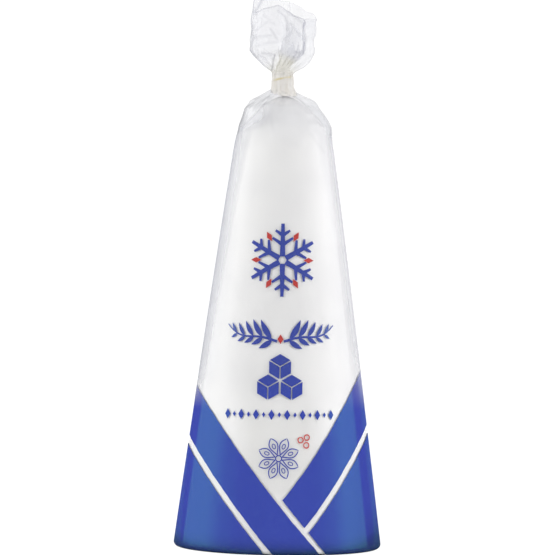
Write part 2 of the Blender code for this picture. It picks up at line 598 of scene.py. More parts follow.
    def creases(self, nodes: Nodes, place: Socket, height: Socket) -> Socket:
        """Fine crease lines, some strong and some faint, where the film is loose.

        Args:
            nodes: The material's nodes.
            place: The point's place.
            height: Its height.

        Returns:
            How strong a crease is at the point.
        """
        bent = nodes.stirred(place, 160.0, 1.0, self.crease_stir)
        found = []
        for share, width, patches in self.crease_sets:
            cells = nodes.add("TexVoronoi", {"Vector": bent, "Scale": 1 / (self.crease_pitch * share)},
                              feature="DISTANCE_TO_EDGE")
            line = nodes.spread(cells.outputs["Distance"], 1.0, 0.0, 0.0, width)
            shown = nodes.rise(nodes.noise(place, patches, 1.0), self.crease_patches)
            found.append(nodes.product(line, shown))
        loose = nodes.total(nodes.spread(height, 0.0, self.shoulder_creases, *self.shoulder),
                            nodes.spread(height, 0.0, self.tuft_creases, *self.neck))
        return nodes.product(nodes.sum(Sum.MAXIMUM, *found), loose)

    def haze(self, nodes: Nodes, place: Socket, height: Socket, slant: Socket) -> Socket:
        """How milky the film is between its folds and creases, with painted edge shade where it slants.

        Args:
            nodes: The material's nodes.
            place: The point's place.
            height: Its height.
            slant: How slanted the film is to the view.

        Returns:
            The haze at the point.
        """
        across, _, _ = nodes.lengths(place)
        on_shoulder = nodes.rise(height, self.shoulder)
        in_tuft = nodes.rise(height, self.neck)
        closed = nodes.sum(Sum.ADD, nodes.spread(on_shoulder, self.tight_haze, self.shoulder_haze),
                           nodes.spread(in_tuft, 0.0, self.tuft_foot_haze - self.shoulder_haze), held=False)
        opened = nodes.spread(height, 0.0, self.tuft_haze - self.tuft_foot_haze, *self.open_tuft)
        lapped = nodes.product(self.lapped(nodes, place), self.lap_haze)
        flap = nodes.product(nodes.spread(across, self.flap_haze, 0.0, *self.flap_side),
                             nodes.rise(height, self.flap_height))
        tight, right, edge = self.slanted(nodes, across, height, slant)
        stalk = nodes.product(self.near_stalk(nodes, place), self.stalk_haze)
        at_neck = nodes.spread(nodes.away(place, self.neck_front), self.neck_haze, 0.0, *self.neck_radius)
        far_rim = nodes.product(nodes.spread(across, 0.0, self.far_rim_haze, *self.far_rim_side),
                                nodes.rise(height, self.far_rim_height))
        return nodes.total(closed, opened, self.bunched(nodes, place), self.layered(nodes, place), lapped,
                           flap, tight, stalk, at_neck, far_rim, right, edge)

    def slanted(self, nodes: Nodes, across: Socket, height: Socket, slant: Socket
                ) -> tuple[Socket, Socket, Socket]:
        """The haze and painted edge shade that come from looking along the film.

        Args:
            nodes: The material's nodes.
            across: How far right the point is.
            height: Its height.
            slant: How slanted the film is to the view.

        Returns:
            The haze and painted edge shade of the tight film, the extra on the right, and that
            of the loose film.
        """
        on_shoulder = nodes.rise(height, self.shoulder)
        steep = nodes.sum(Sum.POWER, slant, self.slant_power)
        tight = nodes.product(nodes.rise(height, self.foot_end),
                              nodes.spread(across, *self.tight_slant_haze_and_shade, *self.tight_slant_side),
                              nodes.spread(on_shoulder, 1.0, 0.0),
                              nodes.sum(Sum.POWER, slant, self.tight_slant_power))
        right = nodes.product(nodes.fall(height, self.right_slant_height),
                              nodes.spread(across, 0.0, self.right_slant_haze_and_shade, *self.right_slant_side),
                              on_shoulder, steep)
        near_neck = nodes.profile(nodes.rise(height, self.neck_slant_height), self.neck_slant)
        loose = nodes.product(on_shoulder, near_neck,
                              nodes.spread(across, *self.slant_haze_and_shade, *self.slant_side), steep)
        return tight, right, loose

    def bunched(self, nodes: Nodes, place: Socket) -> Socket:
        """The cloud in the tuft where its layers come together above the stalk.

        Args:
            nodes: The material's nodes.
            place: The point's place.

        Returns:
            The cloud's haze at the point.
        """
        stirred = nodes.stirred(place, 240.0, 2.0, self.core_stir)
        flat = nodes.add("VectorMath", {0: stirred, 1: self.core_squash}, operation="MULTIPLY").outputs[0]
        (x, y, z), (_, deep, tall) = self.core, self.core_squash
        shift = self.core_stir / 2
        away = nodes.away(flat, (x + shift, y * deep + self.core_depth, (z + shift) * tall))
        return nodes.spread(away, self.core_haze, 0.0, *self.core_radius)

    def layered(self, nodes: Nodes, place: Socket) -> Socket:
        """The second layer of film under the neck, whose pointed lower edge shows through.

        Args:
            nodes: The material's nodes.
            place: The point's place.

        Returns:
            The layer's haze at the point.
        """
        across, _, height = nodes.lengths(place)
        half, (low, high) = self.edge_half_width, self.edge_heights
        edge = nodes.profile(nodes.rise(across, (-half * MM, half * MM)), tuple(
            ((x + half) / (2 * half), (z - low) / (high - low)) for x, z in self.layer_edge))
        over = nodes.sum(Sum.SUBTRACT, nodes.rise(height, (low * MM, high * MM)), edge, held=False)
        lower = nodes.rise(over, self.edge_softness)
        inside = nodes.fall(nodes.along(place, self.layer_left),
                            tuple(self.layer_reach + softness for softness in self.reach_softness))
        below_neck = nodes.product(nodes.spread(across, *self.layer_haze, *self.layer_side),
                                   nodes.fall(height, self.layer_height))
        return nodes.product(lower, inside, below_neck)

    def lapped(self, nodes: Nodes, place: Socket) -> Socket:
        """The film's doubled sides, more so on the left, which fade to the foot and the back.

        Args:
            nodes: The material's nodes.
            place: The point's place.

        Returns:
            How much the film is doubled at the point.
        """
        across, deep, height = nodes.lengths(place)
        return nodes.product(nodes.rise(deep, self.lap_front), nodes.fall(deep, self.lap_back),
                             nodes.spread(across, *self.lap_shares, *self.lap_side),
                             nodes.rise(height, self.lap_foot), nodes.fall(height, self.lap_top))


@dataclass(frozen=True)
class PrintInk:
    """Printing ink on the inner side of the film: uneven in its cover, painted darker at the foot.

    The foot's painted shade deepens at the left and right corners by their corner shades.
    """

    name: str
    colour: Colour
    thin: Colour
    sheen: Colour
    cover_scale: float = 700.0
    cover_levels: Span = (0.30, 0.60)
    gloss: float = 0.052
    roughness: float = 0.10
    # Painted shade, darker towards the foot and at its left and right corners
    foot_height: float = 6.0 * MM
    foot_shade: tuple[FlatPoint, ...] = ((0.0, 0.22), (0.2, 0.42), (0.42, 0.72), (0.67, 0.91), (1.0, 1.0))
    foot_blueness: float = 1.03
    right_corner_shade: float = 0.76
    right_side: Span = mm(21, 31)
    left_corner_shade: float = 0.60
    left_side: Span = mm(-32.5, -27.5)
    corner_top: float = 0.50
    corner_height: Span = mm(5, 16)

    def material(self) -> Material:
        """Make the ink's material.

        Returns:
            The material.
        """
        nodes = Nodes(bpy.data.materials.new(self.name))
        place = nodes.place()
        cover = nodes.noise(place, self.cover_scale, 2.0)
        colour = nodes.ramp(cover, tuple(zip(self.cover_levels, (self.thin, self.colour))))
        across, _, height = nodes.lengths(place)
        # Painted shade: the foot and its left and right corners are darkened
        sides = nodes.total(nodes.spread(across, 0.0, self.right_corner_shade, *self.right_side),
                            nodes.spread(across, self.left_corner_shade, 0.0, *self.left_side))
        corner = nodes.product(sides, nodes.spread(height, 1.0, self.corner_top, *self.corner_height))
        low = nodes.product(nodes.rise(height, (0.0, self.foot_height)), nodes.spread(corner, 1.0, 0.0))
        foot = nodes.ramp(low, tuple((at, (dim, dim, dim * self.foot_blueness))
                                     for at, dim in self.foot_shade))
        matt = nodes.add("BsdfDiffuse", {"Color": nodes.blend(1.0, colour, foot, Blend.MULTIPLY)})
        gloss = nodes.add("BsdfGlossy", {"Color": (*self.sheen, 1.0), "Roughness": self.roughness})
        return nodes.finish(nodes.mixed(self.gloss, matt, gloss))


@dataclass(frozen=True)
class WoundTape:
    """Translucent tape: satin, streaked along the neck, ochre along the edge of its last turn.

    The cover is how much the tape hides. It falls off raggedly at the top and along the
    slanted foot. The glue shows along the edge's middle, by its (place, share) stops.
    """

    name: str = "wound_tape"
    colour: Colour = (0.83, 0.81, 0.78)
    streak: Colour = (0.77, 0.745, 0.69)
    streak_stretch: Point = (1.0, 1.0, 0.3)
    streak_scale: float = 620.0
    streak_levels: Span = (0.38, 0.62)
    patch_scale: float = 500.0
    glue: Colour = (0.70, 0.62, 0.37)
    glue_side: Span = mm(-4, 2.4)
    glue_stops: tuple[FlatPoint, ...] = ((0.0, 0.0), (0.25, 1.0), (0.78, 1.0), (1.0, 0.1))
    glue_patches: Span = (0.42, 0.58)
    thin_glue: float = 0.25
    edge_height: float = 147.7 * MM
    edge_slope: float = 0.20
    edge_core: float = 0.1 * MM
    edge_width: float = 0.50 * MM
    cover: float = 0.74
    top_cover: float = 0.22
    top: Span = mm(147.9, 149.8)
    top_raggedness: float = 0.5 * MM
    foot_cover: float = 0.50
    foot: Span = mm(142.5, 144.4)
    foot_slant: Point = (0.12, -0.21, 1.0)
    foot_raggedness: float = 0.7 * MM
    foot_patches: Span = (0.35, 0.65)

    def material(self) -> Material:
        """Make the tape's material.

        Returns:
            The material.
        """
        nodes = Nodes(bpy.data.materials.new(self.name))
        place = nodes.place()
        stretched = nodes.add("Mapping", {"Vector": place, "Scale": self.streak_stretch}).outputs["Vector"]
        streaks = nodes.noise(stretched, self.streak_scale, 3.0)
        colour = nodes.ramp(streaks, tuple(zip(self.streak_levels, (self.streak, self.colour))))
        patchy = nodes.noise(place, self.patch_scale, 1.0)
        across, _, height = nodes.lengths(place)
        off = nodes.sum(Sum.SUBTRACT, nodes.along(place, (-self.edge_slope, 0.0, 1.0)), self.edge_height,
                        held=False)
        near = nodes.sum(Sum.ABSOLUTE, off, held=False)
        glued = nodes.product(nodes.fall(near, (self.edge_core, self.edge_width)),
                              nodes.profile(nodes.rise(across, self.glue_side), self.glue_stops),
                              nodes.spread(patchy, self.thin_glue, 1.0, *self.glue_patches))
        ragged = nodes.spread(patchy, -self.top_raggedness, self.top_raggedness)
        level = nodes.sum(Sum.ADD, ragged, height, held=False)
        cover = nodes.spread(level, self.cover, self.top_cover, *self.top)
        ragged = nodes.spread(patchy, -self.foot_raggedness, self.foot_raggedness, *self.foot_patches)
        level = nodes.sum(Sum.ADD, ragged, nodes.along(place, self.foot_slant), held=False)
        cover = nodes.product(cover, nodes.spread(level, self.foot_cover, 1.0, *self.foot))
        shader = nodes.add("BsdfPrincipled", {"Base Color": nodes.blend(glued, colour, self.glue),
                                              "Roughness": 0.38, "Alpha": cover})
        return nodes.finish(shader)


@dataclass(frozen=True)
class PaleFloor:
    """The plain pale floor under the loaf: white to the eye, a soft grey as a light."""

    name: str = "pale_floor"
    colour: Colour = (0.70, 0.70, 0.70)
    whiteness: float = 0.80
    brightness: float = 1.20

    def material(self) -> Material:
        """Make the floor's material.

        Returns:
            The material.
        """
        nodes = Nodes(bpy.data.materials.new(self.name))
        ground = nodes.add("BsdfDiffuse", {"Color": (*self.colour, 1.0)})
        white = nodes.add("Emission", {"Color": (1.0, 1.0, 1.0, 1.0), "Strength": self.brightness})
        seen = nodes.add("LightPath").outputs["Is Camera Ray"]
        share = nodes.sum(Sum.MULTIPLY, seen, self.whiteness)
        return nodes.finish(nodes.mixed(share, ground, white))


# The cone's form, which the sugar, the print and the film share


@dataclass(frozen=True)
class ConeForm:
    """The outside of the film where it lies tight on the cone.

    A level is a height on the side. Below foot_rounding it runs round the foot's edge, and
    below 0 it runs inwards under the foot.
    """

    foot_radius: float = (BAG_HIGH.x - BAG_LOW.x) / 2
    foot_rounding: float = 1.5 * MM
    side_height: float = 131.5 * MM
    side_top_radius: float = 14.9 * MM
    bulge: float = 0.9 * MM

    def radius(self, height: Array | float) -> Array | float:
        """Radius of the side above the rounded foot.

        Args:
            height: The heights.

        Returns:
            The radius at each.
        """
        share = (height - self.foot_rounding) / (self.side_height - self.foot_rounding)
        return (self.foot_radius + (self.side_top_radius - self.foot_radius) * share
                + self.bulge * share * (1 - share))

    def section(self, level: Array) -> tuple[Array, Array]:
        """Radius and height of the outside at a level.

        Args:
            level: Heights on the side, or levels round and under the foot.

        Returns:
            The radius and the height of each.
        """
        turn = np.clip(level / self.foot_rounding, 0.0, 1.0) * math.pi / 2
        inset = self.foot_rounding * (1 - np.sin(turn)) - np.minimum(level, 0.0)
        height = self.foot_rounding * (1 - np.cos(turn)) + np.maximum(level - self.foot_rounding, 0.0)
        return self.radius(np.maximum(level, self.foot_rounding)) - inset, height

    def wrap(self, across: Array, level: Array, depth: float) -> Array:
        """Flat points laid around the cone at a depth, with distances to the right of its front."""
        radius, _ = self.section(np.maximum(level, self.foot_rounding))
        return self.place(across / radius, level, depth)

    def place(self, turn: Array, level: Array, depth: float) -> Array:
        """Points at an angle from the front and a level, at a depth under the outside.

        Args:
            turn: The angles, positive to the right.
            level: The levels.
            depth: The depth.

        Returns:
            The points in metres.
        """
        radius, height = self.section(level)
        under = np.clip(1 - level / self.foot_rounding, 0.0, 1.0)
        radius = radius - depth * np.cos(under * math.pi / 2)
        height = height + depth * np.sin(under * math.pi / 2)
        return np.stack([radius * np.sin(turn), -radius * np.cos(turn), height], axis=-1)


# The sugar


@dataclass
class SugarLoaf:
    """The pressed cone of sugar: a flat foot, a straight side and a blunt round tip."""

    form: ConeForm
    gap: float = 0.45 * MM
    tip_start: float = 125.5 * MM
    tip_height: float = 142.2 * MM
    bluntness: float = 1.75
    columns: int = 160
    foot_share: float = 0.96
    foot_rows: int = 10
    corner_rows: int = 7
    side_rows: int = 60
    tip_rows: int = 34

    def outline(self) -> tuple[Array, Array]:
        """Radius and height of the sugar's outline, from the middle of its foot to its tip.

        Returns:
            The radius and the height of each of its points.
        """
        under = np.linspace(-self.form.foot_radius * self.foot_share, 0.0, self.foot_rows)
        corner = np.linspace(0.0, self.form.foot_rounding, self.corner_rows)[1:]
        side = np.linspace(self.form.foot_rounding, self.tip_start, self.side_rows)[1:]
        placed = self.form.place(np.zeros(1), np.concatenate([under, corner, side]), self.gap)
        share = np.sin(np.linspace(0.0, math.pi / 2, self.tip_rows))[1:-1]
        start = -placed[-1, 1]
        slope = (self.form.radius(self.tip_height) - self.form.radius(self.tip_start)) * share
        tip_radius = (start + slope) * (1 - share ** self.bluntness) ** (1 / self.bluntness)
        tip_level = self.tip_start + (self.tip_height - self.tip_start) * share
        return np.concatenate([-placed[:, 1], tip_radius]), np.concatenate([placed[:, 2], tip_level])

    def build(self, finish: PressedSugar) -> Piece:
        """Build the loaf and set it in the frame.

        Args:
            finish: What the sugar looks like.

        Returns:
            The finished piece.
        """
        radius, height = self.outline()
        turn = np.linspace(0.0, 2 * math.pi, self.columns, endpoint=False)
        sides = around(0.0, turn, radius[:, None], height[:, None])
        middles = [[0.0, 0.0, height[0]], [0.0, 0.0, self.tip_height]]
        points = np.concatenate([sides.reshape(-1, 3), middles])
        foot, tip, last = len(points) - 2, len(points) - 1, (len(radius) - 1) * self.columns
        faces = np.concatenate([grid_faces(len(radius), self.columns, closed=True),
                                fan_faces(self.columns, 0, foot, downwards=True),
                                fan_faces(self.columns, last, tip, downwards=False)])
        piece = build_piece("sugar_cone", points, faces, finish.material())
        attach(piece, ROOT)
        return piece


# The print


@dataclass(frozen=True)
class BandEdge:
    """An edge of a printed band: its level over the distance sideways from the middle."""

    level: float
    slope: float
    bow: float

    def at(self, sideways: Array) -> Array:
        """The edge's level at distances sideways."""
        return self.level + self.slope * sideways + self.bow * sideways ** 2


@dataclass
class FootBands:
    """Two broad blue bands that cross at the front of the foot, with white lines between."""

    form: ConeForm
    depth: float = 0.06 * MM
    columns: int = 720
    rows: int = 40
    corner_share: float = 26.0 * MM
    under_foot: float = -26.0 * MM
    unevenness: float = 0.13 * MM
    waves: tuple[tuple[int, float], ...] = ((23, 0.35), (41, 0.3), (77, 0.2), (131, 0.15))
    highest: float = 60 * MM
    left_top: BandEdge = BandEdge(15.65 * MM, -1.214, 4.6)
    left_gap: BandEdge = BandEdge(18.55 * MM, -1.245, 3.0)
    left_line_top: BandEdge = BandEdge(-1.25 * MM, -1.125, 5.7)
    left_line_foot: BandEdge = BandEdge(-3.95 * MM, -1.100, 5.7)
    right_top: BandEdge = BandEdge(15.27 * MM, 1.151, 17.7)
    right_line_top: BandEdge = BandEdge(-0.47 * MM, 0.928, 18.3)
    right_line_foot: BandEdge = BandEdge(-2.95 * MM, 0.868, 18.9)

    def edge_levels(self, edge: BandEdge, turn: Array, seed: float) -> Array:
        """Where an edge runs around the cone.

        Args:
            edge: The edge.
            turn: Angles from the front.
            seed: Start of the hand-cut unevenness along it.

        Returns:
            The edge's level at each angle.
        """
        level = np.zeros_like(turn)
        for _ in range(40):
            radius, _ = self.form.section(np.maximum(level, self.under_foot * 0.9))
            level = (level + edge.at(radius * np.sin(turn))) / 2
        wobble = sum(np.sin(turn * waves + seed * waves) * share for waves, share in self.waves)
        return level + self.unevenness * wobble

    def fields(self, turn: Array) -> list[tuple[Array, Array]]:
        """The lower and the upper level of each blue field, at each angle.

        Args:
            turn: Angles from the front.

        Returns:
            Each field, as its lower and its upper level.
        """
        def run(edge: BandEdge, seed: float) -> Array:
            """Where an edge runs at the angles."""
            return self.edge_levels(edge, turn, seed)

        foot = np.full_like(turn, self.under_foot)
        over = run(self.left_gap, 1.7)
        return [
            (np.maximum(run(self.left_line_top, 0.4), foot), run(self.left_top, 0.9)),
            (foot, run(self.left_line_foot, 2.2)),
            (np.maximum(np.maximum(run(self.right_line_top, 3.1), over), foot), run(self.right_top, 2.6)),
            (np.maximum(over, foot), run(self.right_line_foot, 3.9)),
        ]

    def patches(self) -> list[Patch]:
        """The blue fields as points and quads, with close rows around the foot's edge.

        Returns:
            Each field's points and quads.
        """
        turn = np.linspace(-math.pi, math.pi, self.columns + 1)
        levels = np.linspace(self.under_foot, self.highest, 2000)
        spaced = levels + self.corner_share * np.clip(levels / self.form.foot_rounding, 0.0, 1.0)
        made = []
        for low, high in self.fields(turn):
            high = np.maximum(high, low)
            share = np.linspace(0.0, 1.0, self.rows)[:, None]
            start, end = np.interp(low, levels, spaced), np.interp(high, levels, spaced)
            level = np.interp(start + (end - start) * share, spaced, levels)
            points = self.form.place(np.broadcast_to(turn, level.shape), level, self.depth)
            kept = (high - low) > 0
            filled = kept[:-1] | kept[1:]
            faces = grid_faces(self.rows, self.columns + 1).reshape(self.rows - 1, self.columns, 4)
            made.append((points.reshape(-1, 3), faces[:, filled].reshape(-1, 4)))
        return made


@dataclass
class FrontMotifs:
    """Plain ornaments down the front: a crystal, leaves, cubes, lozenges and a spice star.

    A place is given as (across, level). The cubes' places are in edges across and in
    millimetres up, and a solid shape has so many parts each way.
    """

    form: ConeForm
    depth: float = 0.06 * MM
    parts: int = 4
    crystal_place: FlatPoint = mm(0.2, 90.3)
    crystal_reach: float = 11.3 * MM
    sprig_place: FlatPoint = mm(0, 68.8)
    sprig_reach: float = 17.9 * MM
    cube_places: tuple[FlatPoint, ...] = ((-0.9, 51.2), (0.9, 51.2), (0.0, 57.5))
    cube_edge: float = 4.1 * MM
    cube_inset: float = 0.10
    row_level: float = 42.8 * MM
    row_half_width: float = 17.0 * MM
    row_sizes: FlatPoint = mm(1.6, 0.85)
    row_count: int = 15
    star_place: FlatPoint = mm(0, 29.5)
    star_reach: float = 6.6 * MM
    star_line: float = 0.16 * MM
    berry_places: tuple[FlatPoint, ...] = ((1.02, 0.86), (1.30, 0.62), (1.32, 0.98))

    def patch(self, corners: Sequence[FlatPoint]) -> Patch:
        """A four-cornered shape laid on the cone.

        Args:
            corners: Its corners in order, each as (across, level).

        Returns:
            Its points and quads.
        """
        a, b, c, d = (np.array(corner) for corner in corners)
        share = np.linspace(0, 1, self.parts + 1)
        s, t = np.meshgrid(share, share)
        s, t = s[..., None], t[..., None]
        flat = a * (1 - s) * (1 - t) + b * s * (1 - t) + c * s * t + d * (1 - s) * t
        points = self.form.wrap(flat[..., 0], flat[..., 1], self.depth)
        return points.reshape(-1, 3), grid_faces(len(share), len(share))

    def ribbon(self, path: Array, half_widths: Array) -> Patch:
        """A stroke of changing width laid on the cone.

        Args:
            path: Its middle line, one (across, level) row for each point.
            half_widths: Half its width at each point.

        Returns:
            Its points and quads.
        """
        along = unit(np.gradient(path, axis=0))
        sideways = np.stack([along[:, 1], -along[:, 0]], axis=-1) * half_widths[:, None]
        flat = np.stack([path - sideways, path, path + sideways], axis=0)
        points = self.form.wrap(flat[..., 0], flat[..., 1], self.depth)
        return points.reshape(-1, 3), grid_faces(3, len(path))

    def line(self, path: Array, half_width: float) -> Patch:
        """A stroke of even width with short tapered ends.

        Args:
            path: Its middle line, one (across, level) row for each point.
            half_width: Half its width.

        Returns:
            Its points and quads.
        """
        steps = np.linspace(0.0, 1.0, len(path))
        taper = np.minimum(1.0, np.minimum(steps, 1 - steps) * 8 + 0.35)
        return self.ribbon(path, half_width * taper)

    def ring(self, centre: FlatPoint, radii: FlatPoint, half_width: float, tilt: float = 0.0) -> Patch:
        """A closed oval line.

        Args:
            centre: Its middle.
            radii: Its two radii.
            half_width: Half the line's width.
            tilt: How far its first radius is turned from the right.

        Returns:
            Its points and quads.
        """
        turn = np.linspace(0.0, 2 * math.pi, 41)
        oval = np.stack([np.cos(turn) * radii[0], np.sin(turn) * radii[1]], axis=-1)
        path = oval @ np.array([[math.cos(tilt), math.sin(tilt)], [-math.sin(tilt), math.cos(tilt)]])
        return self.ribbon(path + np.array(centre), np.full(len(path), half_width))

    def leaf(self, stem: FlatPoint, heading: float, length: float, width: float, bend: float) -> Patch:
        """A solid leaf that starts at its stem and turns by its bend towards its tip.

        Args:
            stem: Where it starts.
            heading: The angle at which it sets off.
            length: Its length.
            width: Its greatest width.
            bend: How far it turns on its way.

        Returns:
            Its points and quads.
        """
        steps = 14
        share = np.linspace(0.0, 1.0, steps + 1)
        angle = heading + bend * share
        way = np.stack([np.cos(angle), np.sin(angle)], axis=-1)
        path = np.cumsum(way * (length / steps), axis=0) + np.array(stem)
        return self.ribbon(path, width / 2 * np.sin(math.pi * share ** 0.8) ** 0.9 + 0.03 * MM)

    def diamond(self, centre: FlatPoint, half_length: float, half_width: float,
                heading: float = math.pi / 2) -> Patch:
        """A solid lozenge.

        Args:
            centre: Its middle.
            half_length: Half its length.
            half_width: Half its width.
            heading: The angle of its length.

        Returns:
            Its points and quads.
        """
        way = pointing(heading)
        along, side = way * half_length, np.array([-way[1], way[0]]) * half_width
        middle = np.array(centre)
        return self.patch([tuple(middle - along), tuple(middle + side), tuple(middle + along),
                           tuple(middle - side)])

    def crystal(self, centre: FlatPoint, reach: float) -> Shapes:
        """A six-armed sugar crystal with red lozenges between its arms.

        Args:
            centre: Its middle.
            reach: The length of its arms.

        Returns:
            Its shapes, by their ink.
        """
        blue, red = [], []
        middle = np.array(centre)
        for arm in range(6):
            heading = math.pi / 2 + arm * math.pi / 3
            out = pointing(heading)
            share = np.linspace(0.10, 1.0, 9)[:, None]
            blue.append(self.ribbon(middle + out * share * reach, np.linspace(0.075, 0.045, 9) * reach))
            for start, length in ((0.42, 0.34), (0.68, 0.24)):
                for side in (-1, 1):
                    branch = pointing(heading + side * math.pi / 3.2)
                    path = middle + out * start * reach + branch * np.linspace(0, length * reach, 6)[:, None]
                    blue.append(self.ribbon(path, np.linspace(0.055, 0.03, 6) * reach))
            between = heading + math.pi / 6
            place = middle + pointing(between) * reach * 0.74
            red.append(self.diamond(tuple(place), 0.15 * reach, 0.075 * reach, between))
        return {Ink.BLUE: blue, Ink.RED: red}

    def sprig(self, centre: FlatPoint, half_width: float) -> Shapes:
        """Two leafy stems that sweep out and up from the middle.

        Args:
            centre: The place between the stems.
            half_width: How far each stem reaches.

        Returns:
            Its shapes, by their ink.
        """
        blue, red = [], []
        for side in (-1, 1):
            share = np.linspace(0.0, 1.0, 24)
            across = side * (0.06 + 0.94 * share) * half_width
            level = centre[1] + half_width * (-0.20 + 0.30 * share ** 2 + 0.05 * np.sin(share * 6))
            path = np.stack([centre[0] + across, level], axis=-1)
            blue.append(self.ribbon(path, np.linspace(0.42, 0.16, 24) * MM))
            for place in range(5):
                at = path[2 + place * 4]
                size = (6.7 - 0.8 * place) * MM
                for heading, length, width in ((-0.72, 0.70, 0.24), (0.86, 1.0, 0.27)):
                    if side < 0:
                        heading = math.pi - heading
                    blue.append(self.leaf(tuple(at), heading, size * length, size * width, 0.35 * side))
        red.append(self.diamond((centre[0], centre[1] - 0.16 * half_width), 1.5 * MM, 0.95 * MM))
        return {Ink.BLUE: blue, Ink.RED: red}

    def cube(self, centre: FlatPoint) -> list[Patch]:
        """A sugar cube seen corner on: three solid faces with bare lines between them.

        Args:
            centre: Its middle.

        Returns:
            The points and quads of its faces.
        """
        corner = [pointing(math.pi / 6 + place * math.pi / 3) for place in range(6)]
        middle = np.zeros(2)
        made = []
        for first in (0, 2, 4):
            ring = [middle, corner[first], corner[(first + 1) % 6], corner[(first + 2) % 6]]
            heart = sum(ring) / 4
            shape = [np.array(centre) + (heart + (point - heart) * (1 - self.cube_inset)) * self.cube_edge
                     for point in ring]
            made.append(self.patch([tuple(point) for point in shape]))
        return made

    def lozenge_row(self) -> list[Patch]:
        """A level row of lozenges, small and large by turns.

        Returns:
            The points and quads of each.
        """
        made = []
        for place in range(self.row_count):
            across = self.row_half_width * (2 * place / (self.row_count - 1) - 1)
            size = self.row_sizes[place % 2]
            made.append(self.diamond((across, self.row_level), size, size * 0.62))
        return made

    def spice_star(self, centre: FlatPoint, reach: float) -> Shapes:
        """A thin-lined star of eight pods with a seed in each, and three red berries.

        Args:
            centre: Its middle.
            reach: The length of its pods.

        Returns:
            Its shapes, by their ink.
        """
        blue, red = [], []
        middle = np.array(centre)
        line = self.star_line
        for pod in range(8):
            heading = math.pi / 8 + pod * math.pi / 4
            out = pointing(heading)
            side = np.array([-out[1], out[0]])
            share = np.linspace(0.0, 1.0, 16)[:, None]
            swell = np.sin(math.pi * share ** 1.3) * 0.20 * reach
            spine = middle + out * (0.16 + 0.84 * share) * reach
            blue += [self.line(spine + side * swell * over, line) for over in (-1, 1)]
            seed = middle + out * reach * 0.60
            blue.append(self.ring(tuple(seed), (0.115 * reach, 0.07 * reach), line * 0.8, heading))
        blue.append(self.ring(centre, (0.14 * reach, 0.14 * reach), line))
        for across, up in self.berry_places:
            red.append(self.ring((centre[0] + across * reach, centre[1] + up * reach),
                                 (0.125 * reach, 0.125 * reach), line))
        return {Ink.BLUE: blue, Ink.RED: red}

    def patches(self) -> Shapes:
        """Every ornament, by its ink.

        Returns:
            The shapes of each ink.
        """
        made: Shapes = {Ink.BLUE: [], Ink.RED: []}
        for part in (self.crystal(self.crystal_place, self.crystal_reach),
                     self.sprig(self.sprig_place, self.sprig_reach),
                     self.spice_star(self.star_place, self.star_reach)):
            for ink, shapes in part.items():
                made[ink] += shapes
        for across, level in self.cube_places:
            made[Ink.BLUE] += self.cube((across * self.cube_edge, level * MM))
        made[Ink.BLUE] += self.lozenge_row()
        return made


@dataclass
class PackPrint:
    """The bag's print, one piece for each ink, just inside the film."""

    bands: FootBands
    motifs: FrontMotifs

    def build(self, finishes: dict[Ink, PrintInk]) -> list[Piece]:
        """Build the print's pieces and set them in the frame.

        Args:
            finishes: What each ink looks like.

        Returns:
            The finished pieces.
        """
        patches = self.motifs.patches()
        patches[Ink.BLUE] += self.bands.patches()
        pieces = []
        for ink, shapes in patches.items():
            firsts = np.cumsum([0] + [len(points) for points, _ in shapes])
            points = np.concatenate([points for points, _ in shapes])
            faces = np.concatenate([quads + first for (_, quads), first in zip(shapes, firsts)])
            piece = build_piece(ink.value, points, faces, finishes[ink].material())
            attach(piece, ROOT)
            pieces.append(piece)
        return pieces


# The film bag


@dataclass(frozen=True)
class Station:
    """One level of the gathered film: how far it reaches each way and how deep it folds."""

    height: float
    left: float
    right: float
    front: float
    back: float
    valley: float
    stir: float


@dataclass(frozen=True)
class Petal:
    """A part of the shoulder's film that stands out between two valleys.

    The bearing is in degrees, counter-clockwise from the right. The valley before the petal
    goes as deep as depth says.
    """

    bearing: float
    depth: float


@dataclass(frozen=True)
class TuftFold:
    """One fold of the tuft: where it stands once the film is open, and how it gets there.

    Lengths are in millimetres. The fold leaves the gathered stalk at start and is open a rise
    higher, sooner when bow is greater. Its rim is drawn in where curl is under one.
    """

    x: float
    y: float
    start: float
    rise: float
    bow: float
    rim: float
    curl: float


@dataclass(frozen=True)
class Crease:
    """A crease pinched into the front or the back of the film, in millimetres.

    Its line is given as (x, z) points. The shade is how dark it is drawn, and the height how
    far it stands out.
    """

    line: tuple[FlatPoint, ...]
    shade: float
    height: float = 0.40
    width: float = 0.75
    at_back: bool = False

    def share(self, points: Array) -> Array:
        """How near each point is to the crease: 1 on it, 0 a width away.

        Args:
            points: The points.

        Returns:
            One share for each point.
        """
        flat = points[..., [0, 2]] / MM
        near = np.full(flat.shape[:-1], np.inf)
        line = np.array(self.line)
        for start, end in zip(line, line[1:]):
            along = end - start
            place = np.clip((flat - start) @ along / (along @ along), 0.0, 1.0)
            near = np.minimum(near, np.linalg.norm(flat - start - place[..., None] * along, axis=-1))
        return np.clip(1 - near / self.width, 0.0, 1.0)


